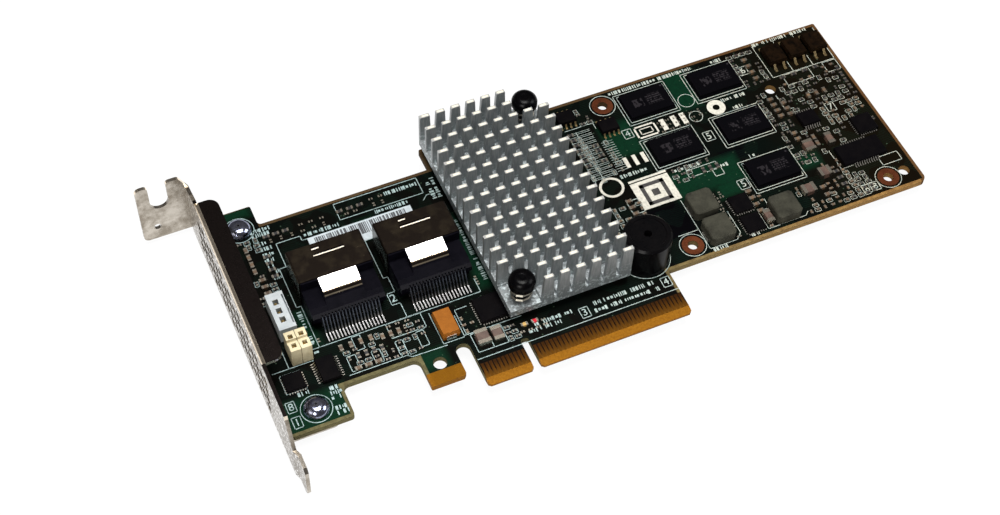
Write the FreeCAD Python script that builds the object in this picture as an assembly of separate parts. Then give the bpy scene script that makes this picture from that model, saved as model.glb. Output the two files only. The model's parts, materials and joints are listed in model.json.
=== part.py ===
import FreeCAD, Part
import math
import os

# Low-profile eight-port RAID controller card, in millimetres.
# The origin is the centre of the key notch on the tip line of the edge contacts, in the
# middle of the board's thickness. +X runs along the card away from the bracket, +Y runs
# from the contacts towards the top edge, and +Z points out of the component side.

V = FreeCAD.Vector

# ---- circuit board ----------------------------------------------------------------
BOARD_T = 1.57
TOP = BOARD_T / 2.0
BOTTOM = -BOARD_T / 2.0
BOARD_LEFT = -57.15
BOARD_LENGTH = 167.65
BOARD_RIGHT = BOARD_LEFT + BOARD_LENGTH
BOARD_HEIGHT = 68.9
LOWER_EDGE_Y = 12.5          # underside of the board beside the contact tongues
REAR_EDGE_Y = BOARD_HEIGHT - 6.6    # lowered top edge in front of the cable connectors
STEP_X = -1.4                # where the top edge steps up to full height

TONGUE_A = (-12.15, -0.95)   # short contact tongue, left and right side
TONGUE_B = (0.95, 39.15)     # long contact tongue
TONGUE_CORNER = 0.6
KEY_DEPTH = 8.25
BEVEL_LENGTH = 1.9
BEVEL_DEPTH = 0.48

HOOK_LEFT, HOOK_RIGHT = -24.2, -15.65
HOOK_BOTTOM = 4.4
HOOK_HOLE = (-20.1, 9.65)
HOOK_HOLE_D = 3.2

FOOT_TAB_BOTTOM = 4.3
FOOT_TAB_RIGHT = -42.6
HEAD_TAB_TOP = BOARD_HEIGHT - 0.6
HEAD_TAB_RIGHT = -45.15

MOUNT_HOLES = [(46.9, BOARD_HEIGHT - 4.5), (48.0, 16.9), (BOARD_RIGHT - 8.5, 16.8)]
MOUNT_HOLE_D = 2.5
PLAIN_HOLES = [(BOARD_RIGHT - 21.6, 53.0), (BOARD_RIGHT - 3.8, 17.2)]
PLAIN_HOLE_D = 2.8

# ---- edge contacts ----------------------------------------------------------------
CONTACT_PITCH = 1.0
CONTACT_W = 0.7
CONTACT_T = 0.05
CONTACT_Y = (BEVEL_LENGTH, 5.8)
CONTACTS_A = [-11.5 + CONTACT_PITCH * i for i in range(11)]
CONTACTS_B = [1.5 + CONTACT_PITCH * i for i in range(38)]

# ---- bracket ----------------------------------------------------------------------
SHEET_T = 0.86
BOARD_GAP = 1.1
PLATE_IN = BOARD_LEFT - BOARD_GAP
PLATE_OUT = PLATE_IN - SHEET_T
PLATE_W = 18.42
PLATE_Z0 = -4.2
PLATE_Z1 = PLATE_Z0 + PLATE_W
FLANGE_TOP_Y = BOARD_HEIGHT + 2.4
TONGUE_TIP_Y = -7.9
FLANGE_DEPTH = 11.8
FLANGE_ARM_Z = 16.2
FLANGE_TRIM = 1.4             # flange narrower than the plate on the solder side
FLANGE_CORNER = 1.4
FLANGE_HOLE_D = 1.8
FLANGE_HOLE_IN = (3.7, 4.2)   # from the free corner of the flange, along X and Z
SCREW_NOTCH_W = 4.42
SCREW_NOTCH_X = PLATE_OUT - 6.55
SCREW_NOTCH_Z = 7.9
LIP_W = 5.4
LIP_Y = (16.3, FLANGE_TOP_Y - 7.7)
LIP_CORNER = 2.4
SHOULDER_Y = 2.1
SHOULDER_DROP = 4.1           # height over which the plate narrows to its tongue
PLATE_TONGUE_W = 10.19
PLATE_TONGUE_SET = 0.3        # from the solder-side edge of the plate to the tongue
PLATE_TONGUE_JOG = 0.6
BEND_R = 0.5
VENT_AF = 2.6                # hexagon across flats
VENT_PITCH = 3.6
VENT_Y = (14.6, LIP_Y[1] - 1.2)
VENT_Z = (-1.1, 11.4)
FOOT_W = 9.4
FOOT_REACH = 12.3

# ---- bracket screws ---------------------------------------------------------------
BRACKET_SCREWS = [(-49.9, 9.2), (-49.9, HEAD_TAB_TOP - 6.0)]
SCREW_D = 2.8
SCREW_HOLE_D = SCREW_D + 0.4
SCREW_TAP_D = SCREW_D + 0.16
SCREW_HEAD_D = 6.0
SCREW_HEAD_H = 2.1
SCREW_PROUD = 0.9

# ---- controller and heatsink ------------------------------------------------------
SINK_X = (-1.3, 29.2)
SINK_Y = (13.0, BOARD_HEIGHT - 0.6)
SINK_BASE_Z = 3.7
SINK_BASE_T = 2.0
SINK_TOP_Z = 14.4
SINK_COLUMNS = 8
SINK_ROWS = 15
FIN_TOP_W = 2.2
FIN_ROOT_W = 2.9
PIN_DEPTH = 0.95
CROSS_CUT_FLOOR = 0.6        # height of the ridge left under the cross cuts
CORNER_COLUMNS = 2
CORNER_ROWS = 2

CHIP_CENTRE = (14.0, 40.0)
SUBSTRATE_SIZE, SUBSTRATE_T = 27.0, 1.15
LID_SIZE, LID_T = 23.6, 1.2
PAD_SIZE = 21.0

# ---- push pins --------------------------------------------------------------------
PUSH_HEAD_D = 6.4
PUSH_INSET = (0.6, 0.9)       # moved in from the middle of the cleared corner
PUSH_HEAD_Z = 10.6
PUSH_HEAD_H = 2.9
PUSH_SHANK_D = 3.0
PUSH_HOLE_D = PUSH_SHANK_D + 0.3
PUSH_BARB_D = 4.1
PUSH_BARB_L = 2.6
PUSH_SLIT = 0.7
SPRING_R = 2.35
SPRING_WIRE_R = 0.3
SPRING_TURNS = 2.5
SPRING_STEPS = 10            # straight stretches in one turn

# ---- cable connectors -------------------------------------------------------------
SAS_WIDTH = 18.2
# The bare board left of, between and right of the two connectors, which stand
# in the room from the fan header to the heatsink and share what they leave free.
SAS_FREE_PARTS = (3.55, 3.2, 2.7)
SAS_HEIGHT = 8.7
SAS_MOUTH_Y = 45.9
SAS_SHELL_REAR_Y = 36.5
SAS_SHELL_T = 0.3
SAS_SOCKET_W, SAS_SOCKET_H, SAS_SOCKET_DEPTH = 16.6, 6.4, 8.6
SAS_NOSE_W, SAS_NOSE_H = 15.2, 3.2
SAS_NOSE_RECESS = 4.6
SAS_SLOT_W, SAS_SLOT_H = 14.1, 1.1
SAS_HOUSING_REAR_Y = 28.4
SAS_LATCH_W = 9.1
SAS_LATCH_Y = 32.8
SAS_PITCH = 0.8
SAS_CONTACTS = 18
SAS_WIRE = 0.28
SAS_LEAD_SHIFT = 0.3          # the lead rows sit a little off the middle of the body
SAS_OVERHANG, SAS_OVERHANG_Z = 1.6, 3.2
SAS_COMB_DEPTH = 0.5

# ---- memory and other parts -------------------------------------------------------
MEMORY_SIZE = (12.5, 8.0)
MEMORY_TOP_Y = BOARD_HEIGHT - 7.9
MEMORY_CENTRES = [(57.6, MEMORY_TOP_Y), (76.9, MEMORY_TOP_Y), (57.7, 45.3), (76.7, 45.2), (76.6, 29.9)]
MEMORY_T = 1.1

POWER_FROM_RIGHT = (15.8, 9.9, 4.0)
POWER_FROM_TOP = 6.5

BUZZER_CENTRE = (35.7, 18.2)
BUZZER_D = 11.7
BUZZER_H = 9.6
BUZZER_PORT_D = 1.9

INDUCTOR_CENTRES = [(55.0, 26.1), (55.2, 17.9), (73.0, 17.6)]
INDUCTOR_SIZE = (6.6, 6.8, 3.0)
INDUCTOR_TERMINAL_W = 3.0

TANTALUM_CENTRE = (-15.2, 18.0)
TANTALUM_SIZE = (4.3, 7.3, 2.8)
TERMINAL_T = 0.15

HEADER_CENTRE = (-49.2, 33.9)
HEADER_SIZE = (4.1, 10.4, 4.7)
SAS_ROOM = (HEADER_CENTRE[0] + HEADER_SIZE[0] / 2.0, SINK_X[0])
SAS_FREE = (SAS_ROOM[1] - SAS_ROOM[0] - 2 * SAS_WIDTH) / sum(SAS_FREE_PARTS)
SAS_CENTRES = [SAS_ROOM[0] + SAS_FREE_PARTS[0] * SAS_FREE + SAS_WIDTH / 2.0,
               SAS_ROOM[1] - SAS_FREE_PARTS[2] * SAS_FREE - SAS_WIDTH / 2.0]
HEADER_PITCH = 2.5
JUMPER_CENTRE = (-48.5, 24.3)
JUMPER_PITCH = 2.54
JUMPER_SIZE = (2.4, 5.4, 5.9)
POST_W = 0.64


# ---- small helpers ----------------------------------------------------------------
def box(x0, x1, y0, y1, z0, z1):
    """Block between two opposite corners."""
    return Part.makeBox(x1 - x0, y1 - y0, z1 - z0, V(x0, y0, z0))


def centred(cx, cy, sx, sy, z0, height):
    """Block of a given size, centred in plan and standing on z0."""
    return box(cx - sx / 2.0, cx + sx / 2.0, cy - sy / 2.0, cy + sy / 2.0, z0, z0 + height)


def rod(cx, cy, diameter, z0, z1):
    """Upright cylinder."""
    return Part.makeCylinder(diameter / 2.0, z1 - z0, V(cx, cy, z0))


def prism(points, depth):
    """Solid from a closed outline of 3-D points, pushed along the vector depth."""
    wire = Part.makePolygon(points + [points[0]])
    return Part.Face(wire).extrude(depth)


def rounded_outline(corners):
    """Closed wire in the XY plane from (x, y, radius) corners."""
    count = len(corners)
    arcs = []
    for i in range(count):
        x, y, radius = corners[i]
        here = V(x, y, 0)
        back = V(corners[i - 1][0], corners[i - 1][1], 0) - here
        ahead = V(corners[(i + 1) % count][0], corners[(i + 1) % count][1], 0) - here
        if radius <= 0:
            arcs.append((here, None, here))
            continue
        half = back.getAngle(ahead) / 2.0
        run = radius / math.tan(half)
        back.normalize()
        ahead.normalize()
        middle = back + ahead
        middle.normalize()
        centre = here + middle * (radius / math.sin(half))
        arcs.append((here + back * run, centre - middle * radius, here + ahead * run))
    edges = []
    for i in range(count):
        start, bulge, end = arcs[i]
        if bulge is not None:
            edges.append(Part.Arc(start, bulge, end).toShape())
        following = arcs[(i + 1) % count][0]
        if (following - end).Length > 1e-6:
            edges.append(Part.makeLine(end, following))
    return Part.Wire(edges)


def plate(corners, z0, z1):
    """Flat plate with rounded corners."""
    solid = Part.Face(rounded_outline(corners)).extrude(V(0, 0, z1 - z0))
    solid.translate(V(0, 0, z0))
    return solid


def moulded(cx, cy, sx, sy, z0, height, draft):
    """Moulded package: widest at mid height, drawn in by draft at top and bottom."""
    def section(inset, z):
        hx, hy = sx / 2.0 - inset, sy / 2.0 - inset
        points = [V(cx - hx, cy - hy, z), V(cx + hx, cy - hy, z),
                  V(cx + hx, cy + hy, z), V(cx - hx, cy + hy, z)]
        return Part.makePolygon(points + [points[0]])

    stations = [section(draft, z0), section(0.0, z0 + height / 2.0), section(draft, z0 + height)]
    return Part.makeLoft(stations, True, True)


def gull_wing(cx, side_y, reach, height, width, thickness):
    """Bent lead leaving a package at side_y and landing reach further out along Y.

    The sign of reach gives the direction, and the lead's foot lies on the board.
    """
    sign = 1.0 if reach > 0 else -1.0
    length = abs(reach)
    foot, t = length * 0.5, thickness
    profile = [(0, height), (foot, t), (length, t), (length, 0), (foot - t, 0), (0, height - t)]
    return prism([V(cx - width / 2.0, side_y + sign * a, TOP + b) for a, b in profile], V(width, 0, 0))


def turned(solid, cx, cy):
    """Copy turned by a quarter about the upright axis through (cx, cy)."""
    copy = solid.copy()
    copy.rotate(V(cx, cy, 0), V(0, 0, 1), 90)
    return copy


def centred_row(count, pitch):
    """Offsets of count items spaced evenly about zero."""
    return [(i - (count - 1) / 2.0) * pitch for i in range(count)]


def save(name, shapes):
    """Write one node, as a single solid or as a group of separate solids."""
    solids = []
    for shape in shapes if isinstance(shapes, list) else [shapes]:
        solids.extend(shape.Solids)
    for solid in solids:
        if not solid.isValid() or solid.Volume <= 0:
            raise RuntimeError("bad solid in " + name)
    shape = solids[0] if len(solids) == 1 else Part.makeCompound(solids)
    shape.exportStep("parts/" + name + ".step")
    print(name, len(solids), round(sum(s.Volume for s in solids), 2))


# ---- circuit board ----------------------------------------------------------------
def push_pin_centres():
    """Centres of the two cleared corners of the heatsink."""
    pitch_x, pitch_y = sink_pitch()
    reach_x = (CORNER_COLUMNS - 1) * pitch_x / 2.0 + FIN_ROOT_W / 2.0
    reach_y = (CORNER_ROWS - 1) * pitch_y / 2.0 + PIN_DEPTH / 2.0
    reach_x += PUSH_INSET[0]
    reach_y += PUSH_INSET[1]
    return [(SINK_X[0] + reach_x, SINK_Y[0] + reach_y), (SINK_X[1] - reach_x, SINK_Y[1] - reach_y)]


def board_corners():
    """Outline of the board, anticlockwise from the lower left."""
    slot_r = (TONGUE_A[0] - HOOK_RIGHT) / 2.0 - 0.02
    c = TONGUE_CORNER
    return [
        (BOARD_LEFT, FOOT_TAB_BOTTOM, 0.6), (FOOT_TAB_RIGHT, FOOT_TAB_BOTTOM, 0.8),
        (FOOT_TAB_RIGHT, LOWER_EDGE_Y, 1.5), (HOOK_LEFT, LOWER_EDGE_Y, 1.8),
        (HOOK_LEFT, HOOK_BOTTOM, 0.3), (HOOK_RIGHT - c, HOOK_BOTTOM, 0),
        (HOOK_RIGHT, HOOK_BOTTOM + c, 0), (HOOK_RIGHT, LOWER_EDGE_Y, slot_r),
        (TONGUE_A[0], LOWER_EDGE_Y, slot_r), (TONGUE_A[0], c, 0), (TONGUE_A[0] + c, 0, 0),
        (TONGUE_A[1] - c, 0, 0), (TONGUE_A[1], c, 0), (TONGUE_A[1], KEY_DEPTH, c),
        (TONGUE_B[0], KEY_DEPTH, c), (TONGUE_B[0], c, 0), (TONGUE_B[0] + c, 0, 0),
        (TONGUE_B[1] - c, 0, 0), (TONGUE_B[1], c, 0), (TONGUE_B[1], LOWER_EDGE_Y, c),
        (BOARD_RIGHT, LOWER_EDGE_Y, 1.6), (BOARD_RIGHT, BOARD_HEIGHT, 0.5),
        (STEP_X, BOARD_HEIGHT, 0.5), (STEP_X, REAR_EDGE_Y, 0.8),
        (HEAD_TAB_RIGHT, REAR_EDGE_Y, 1.0), (HEAD_TAB_RIGHT, HEAD_TAB_TOP, 0.5),
        (BOARD_LEFT, HEAD_TAB_TOP, 0.5),
    ]


def circuit_board():
    """Board with its contact tongues bevelled on both faces and all holes drilled."""
    board = plate(board_corners(), BOTTOM, TOP)
    cutters = []
    x0, x1 = TONGUE_A[0] - 1.0, TONGUE_B[1] + 1.0
    over = 1.0
    slope = BEVEL_DEPTH / BEVEL_LENGTH
    for side in (1.0, -1.0):
        wedge = [V(x0, -over, side * (TOP - BEVEL_DEPTH - slope * over)),
                 V(x0, BEVEL_LENGTH, side * TOP), V(x0, -over, side * TOP)]
        cutters.append(prism(wedge, V(x1 - x0, 0, 0)))
    drills = [(HOOK_HOLE, HOOK_HOLE_D)]
    drills += [(p, MOUNT_HOLE_D) for p in MOUNT_HOLES]
    drills += [(p, PLAIN_HOLE_D) for p in PLAIN_HOLES]
    drills += [(p, SCREW_HOLE_D) for p in BRACKET_SCREWS]
    drills += [(p, PUSH_HOLE_D) for p in push_pin_centres()]
    for (x, y), diameter in drills:
        cutters.append(rod(x, y, diameter, BOTTOM - 1.0, TOP + 1.0))
    return board.cut(Part.makeCompound(cutters))


def edge_contacts(z0, z1):
    """Thin plated contacts on one face of the two tongues."""
    y0, y1 = CONTACT_Y
    half = CONTACT_W / 2.0
    return [box(x - half, x + half, y0, y1, z0, z1) for x in CONTACTS_A + CONTACTS_B]


# ---- bracket ----------------------------------------------------------------------
def bracket_plate():
    """Upright plate with shoulders, narrow tongue and stepped-in tip."""
    t0 = PLATE_Z0 + PLATE_TONGUE_SET
    t1 = t0 + PLATE_TONGUE_W
    neck_y = SHOULDER_Y - SHOULDER_DROP
    y1 = FLANGE_TOP_Y
    outline = [(neck_y, t0), (SHOULDER_Y, PLATE_Z0), (y1 - FLANGE_TRIM, PLATE_Z0),
               (y1, PLATE_Z0 + FLANGE_TRIM), (y1, PLATE_Z1 - 2.2),
               (LIP_Y[1] + 1.0, PLATE_Z1), (SHOULDER_Y, PLATE_Z1), (neck_y, t1)]
    main = prism([V(PLATE_OUT, y, z) for y, z in outline], V(SHEET_T, 0, 0))
    jog = PLATE_TONGUE_JOG
    x0, x1, tip, c = PLATE_OUT, PLATE_IN, TONGUE_TIP_Y, 1.0
    side = [(x0, neck_y), (x1, neck_y), (x1 + jog, neck_y - 1.4), (x1 + jog, tip),
            (x0 + jog, tip), (x0 + jog, neck_y - 1.6)]
    tongue = prism([V(x, y, t0) for x, y in side], V(0, 0, t1 - t0))
    face = [V(x0 - 1.0, y, z) for y, z in
            [(neck_y + 1, t0), (tip + c, t0), (tip, t0 + c), (tip, t1 - c), (tip + c, t1), (neck_y + 1, t1)]]
    return main.fuse(tongue.common(prism(face, V(4.0, 0, 0))))


def bracket_lip():
    """Stiffening lip folded inwards along the component-side edge of the plate."""
    y0, y1 = LIP_Y
    x0, x1 = PLATE_OUT, PLATE_OUT + LIP_W
    z1 = PLATE_Z1
    lip = plate([(x0, y0, 0), (x1, y0, LIP_CORNER), (x1, y1, LIP_CORNER), (x0, y1, 0)],
                z1 - SHEET_T, z1)
    outer = SHEET_T + BEND_R
    root = box(x0, x0 + outer, y0, y1, z1 - outer, z1)
    root = root.cut(Part.makeCylinder(BEND_R, y1 - y0, V(x0 + outer, y0, z1 - outer), V(0, 1, 0)))
    rounding = box(x0, x0 + outer, y0, y1, z1 - outer, z1).cut(
        Part.makeCylinder(outer, y1 - y0, V(x0 + outer, y0, z1 - outer), V(0, 1, 0)))
    return lip.fuse(root), rounding


def bracket_flange():
    """Chassis flange bent outwards at the top, with the open screw notch and a small hole."""
    x0, x1 = PLATE_OUT - FLANGE_DEPTH, PLATE_IN
    y0, y1 = FLANGE_TOP_Y - SHEET_T, FLANGE_TOP_Y
    z0, arm, c = PLATE_Z0 + FLANGE_TRIM, FLANGE_ARM_Z, FLANGE_CORNER
    half = SCREW_NOTCH_W / 2.0
    nx, bottom_r = SCREW_NOTCH_X, SCREW_NOTCH_W / 2.0 - 0.02
    corners = [(x0, z0, c), (x1, z0, 0), (x1, PLATE_Z1 - 2.2, 0), (x1 - 2.2, arm, 0.9),
               (nx + half, arm, 0.9), (nx + half, SCREW_NOTCH_Z, bottom_r),
               (nx - half, SCREW_NOTCH_Z, bottom_r), (nx - half, arm, 0.9), (x0, arm, c)]
    flange = plate(corners, -y1, -y0)
    flange.rotate(V(0, 0, 0), V(1, 0, 0), 90)
    hole = Part.makeCylinder(FLANGE_HOLE_D / 2.0, 3.0,
                             V(x0 + FLANGE_HOLE_IN[0], y0 - 1.0, z0 + FLANGE_HOLE_IN[1]), V(0, 1, 0))
    return flange.cut(hole)


def bracket_feet():
    """Two feet bent inwards under the board, each with a tapped hole."""
    z1 = BOTTOM
    z0 = z1 - SHEET_T
    feet = []
    for x, y in BRACKET_SCREWS:
        y0, y1 = y - FOOT_W / 2.0, y + FOOT_W / 2.0
        x0, x1 = PLATE_OUT, PLATE_IN + FOOT_REACH
        foot = plate([(x0, y0, 0), (x1, y0, 1.5), (x1, y1, 1.5), (x0, y1, 0)], z0, z1)
        web = box(PLATE_IN - 0.1, PLATE_IN + BEND_R, y0, y1, z0 - BEND_R, z0 + 0.1)
        web = web.cut(Part.makeCylinder(BEND_R, FOOT_W, V(PLATE_IN + BEND_R, y0, z0 - BEND_R), V(0, 1, 0)))
        feet.append(foot.fuse(web).cut(rod(x, y, SCREW_TAP_D, z0 - 1.0, z1 + 1.0)))
    return feet


def vent_holes():
    """Staggered hexagonal vents, as cutters lying along X."""
    radius = VENT_AF / math.sqrt(3.0)
    row_step = VENT_PITCH * math.sqrt(3.0) / 2.0
    columns = int((VENT_Y[1] - VENT_Y[0]) / row_step) + 1
    rows = int((VENT_Z[1] - VENT_Z[0]) / VENT_PITCH) + 1
    cutters = []
    for i in range(columns):
        count = rows if i % 2 == 0 else rows - 1
        start = VENT_Z[0] + (0.0 if i % 2 == 0 else VENT_PITCH / 2.0)
        y = VENT_Y[0] + i * row_step
        for k in range(count):
            z = start + k * VENT_PITCH
            points = [V(PLATE_OUT - 1.0, y + radius * math.cos(math.radians(60.0 * n)),
                        z + radius * math.sin(math.radians(60.0 * n))) for n in range(6)]
            cutters.append(prism(points, V(SHEET_T + 2.0, 0, 0)))
    return cutters


def bracket():
    """Perforated low-profile bracket bent from one sheet."""
    lip, rounding = bracket_lip()
    body = bracket_plate().cut(Part.makeCompound(vent_holes()))
    body = body.fuse([lip, bracket_flange()] + bracket_feet()).cut(rounding)
    return body.removeSplitter()


def bracket_screw(x, y):
    """Domed screw through the board into the bracket foot."""
    r, h, shank_r = SCREW_HEAD_D / 2.0, SCREW_HEAD_H, SCREW_D / 2.0
    end = BOTTOM - SHEET_T - SCREW_PROUD
    rim, crown = V(r, 0, TOP + 0.4), V(0.9, 0, TOP + h)
    corners = [crown, V(0, 0, TOP + h), V(0, 0, end), V(shank_r, 0, end), V(shank_r, 0, TOP),
               V(r, 0, TOP), rim]
    edges = [Part.makeLine(corners[i], corners[i + 1]) for i in range(len(corners) - 1)]
    edges.append(Part.Arc(rim, V(r * 0.75, 0, TOP + h * 0.76), crown).toShape())
    screw = Part.Face(Part.Wire(edges)).revolve(V(0, 0, 0), V(0, 0, 1), 360)
    screw.translate(V(x, y, 0))
    return screw


# ---- controller, heatsink and push pins -------------------------------------------
def sink_pitch():
    """Spacing of the pin columns along X and of the pin rows along Y."""
    pitch_x = (SINK_X[1] - SINK_X[0] - FIN_ROOT_W) / (SINK_COLUMNS - 1)
    pitch_y = (SINK_Y[1] - SINK_Y[0] - PIN_DEPTH) / (SINK_ROWS - 1)
    return pitch_x, pitch_y


def heatsink():
    """Comb profile extruded along Y, cross cut into pins, with two corners cleared."""
    pitch_x, pitch_y = sink_pitch()
    z0, z1, z2 = SINK_BASE_Z, SINK_BASE_Z + SINK_BASE_T, SINK_TOP_Z
    inset = (FIN_ROOT_W - FIN_TOP_W) / 2.0
    comb = [(SINK_X[0], z0)]
    for i in range(SINK_COLUMNS):
        left = SINK_X[0] + i * pitch_x
        right = left + FIN_ROOT_W
        outer_left, outer_right = i == 0, i == SINK_COLUMNS - 1
        if not outer_left:
            comb += [(left - 0.25, z1), (left, z1 + 0.4)]
        comb += [(left if outer_left else left + inset, z2)]
        comb += [(right if outer_right else right - inset, z2)]
        if not outer_right:
            comb += [(right, z1 + 0.4), (right + 0.25, z1)]
    comb += [(SINK_X[1], z0)]
    sink = prism([V(x, SINK_Y[0], z) for x, z in comb], V(0, SINK_Y[1] - SINK_Y[0], 0))
    floor = z1 + CROSS_CUT_FLOOR
    cutters = []
    for i in range(SINK_ROWS - 1):
        y0 = SINK_Y[0] + i * pitch_y + PIN_DEPTH
        cutters.append(box(SINK_X[0] - 1, SINK_X[1] + 1, y0, y0 + pitch_y - PIN_DEPTH, floor, z2 + 1))
    clear_x = CORNER_COLUMNS * pitch_x - 0.3
    clear_y = CORNER_ROWS * pitch_y - 0.3
    cutters.append(box(SINK_X[0] - 1, SINK_X[0] + clear_x, SINK_Y[0] - 1, SINK_Y[0] + clear_y, z1, z2 + 1))
    cutters.append(box(SINK_X[1] - clear_x, SINK_X[1] + 1, SINK_Y[1] - clear_y, SINK_Y[1] + 1, z1, z2 + 1))
    for x, y in push_pin_centres():
        cutters.append(rod(x, y, PUSH_HOLE_D, z0 - 1, z1 + 1))
    return sink.cut(Part.makeCompound(cutters))


def controller_substrate():
    x, y = CHIP_CENTRE
    return centred(x, y, SUBSTRATE_SIZE, SUBSTRATE_SIZE, TOP, SUBSTRATE_T)


def controller_lid():
    x, y = CHIP_CENTRE
    return centred(x, y, LID_SIZE, LID_SIZE, TOP + SUBSTRATE_T, LID_T)


def thermal_pad():
    x, y = CHIP_CENTRE
    z0 = TOP + SUBSTRATE_T + LID_T
    return centred(x, y, PAD_SIZE, PAD_SIZE, z0, SINK_BASE_Z - z0)


def push_pin(x, y):
    """Sprung plastic pin: domed head, shank and a split barbed tip under the board."""
    r, z0, h = PUSH_HEAD_D / 2.0, PUSH_HEAD_Z, PUSH_HEAD_H
    s, b = PUSH_SHANK_D / 2.0, PUSH_BARB_D / 2.0
    tip = BOTTOM - PUSH_BARB_L
    rim, crown = V(r, 0, z0 + 1.2), V(0.6, 0, z0 + h)
    corners = [crown, V(0, 0, z0 + h), V(0, 0, tip), V(s - 0.6, 0, tip), V(b, 0, BOTTOM - 0.6),
               V(s, 0, BOTTOM), V(s, 0, z0), V(r, 0, z0), rim]
    edges = [Part.makeLine(corners[i], corners[i + 1]) for i in range(len(corners) - 1)]
    edges.append(Part.Arc(rim, V(r * 0.76, 0, z0 + h * 0.86), crown).toShape())
    pin = Part.Face(Part.Wire(edges)).revolve(V(0, 0, 0), V(0, 0, 1), 360)
    pin = pin.cut(box(-b - 1, b + 1, -PUSH_SLIT / 2.0, PUSH_SLIT / 2.0, tip - 1, BOTTOM))
    pin.translate(V(x, y, 0))
    return pin


def push_pin_spring(x, y):
    """Coil spring held between the heatsink base and the head of a push pin."""
    z0 = SINK_BASE_Z + SINK_BASE_T + SPRING_WIRE_R
    z1 = PUSH_HEAD_Z - SPRING_WIRE_R
    steps = int(SPRING_TURNS * SPRING_STEPS)
    sections = []
    for i in range(steps + 1):
        angle = 2 * math.pi * i / SPRING_STEPS
        z = z0 + (z1 - z0) * i / steps
        corners = []
        for dr, dz in ((1, 0), (0, 1), (-1, 0), (0, -1)):
            radius = SPRING_R + dr * SPRING_WIRE_R
            corners.append(V(x + radius * math.cos(angle), y + radius * math.sin(angle),
                             z + dz * SPRING_WIRE_R))
        sections.append(Part.makePolygon(corners + [corners[0]]))
    return Part.makeLoft(sections, True, True)


# ---- cable connectors -------------------------------------------------------------
def sas_shell(cx):
    """Folded metal shell with a latch window, a small window and a rear latch plate."""
    half, t = SAS_WIDTH / 2.0, SAS_SHELL_T
    y0, y1 = SAS_SHELL_REAR_Y, SAS_MOUTH_Y
    z1 = TOP + SAS_HEIGHT
    outer = centred(cx, (y0 + y1) / 2.0, SAS_WIDTH, y1 - y0, TOP, SAS_HEIGHT)
    outer = outer.makeFillet(0.5, [e for e in outer.Edges if is_top_long_edge(e, z1)])
    inner = box(cx - half + t, cx + half - t, y0 - 1, y1 + 1, TOP - 1, z1 - t)
    shell = outer.cut(inner)
    windows = [box(cx - 3.4, cx + 4.1, y1 - 3.4, y1 - 2.9, z1 - 1, z1 + 1),
               box(cx - 3.2, cx - 1.4, y1 - 1.5, y1 - 0.9, z1 - 1, z1 + 1)]
    side_windows = [box(cx - half - 1, cx + half + 1, y0 + 2.0, y0 + 4.6, TOP + 2.2, TOP + 4.4)]
    latch_half = SAS_LATCH_W / 2.0
    end = SAS_LATCH_Y
    side = [(y0 + 0.4, z1 - t), (y0 + 0.4, z1), (y0 - 0.2, z1 - 0.05), (end, z1 - 0.95),
            (end - 0.8, z1 - 1.7), (end - 0.8, z1 - 1.7 - t), (end, z1 - 0.95 - t),
            (y0 - 0.2, z1 - 0.05 - t)]
    latch = prism([V(cx - latch_half, y, z) for y, z in side], V(SAS_LATCH_W, 0, 0))
    return shell.cut(Part.makeCompound(windows + side_windows)).fuse(latch).removeSplitter()


def is_top_long_edge(edge, z1):
    """True for the two upper edges that run along Y."""
    a, b = edge.Vertexes[0].Point, edge.Vertexes[-1].Point
    return abs(a.z - z1) < 1e-6 and abs(b.z - z1) < 1e-6 and abs(a.x - b.x) < 1e-6


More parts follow.
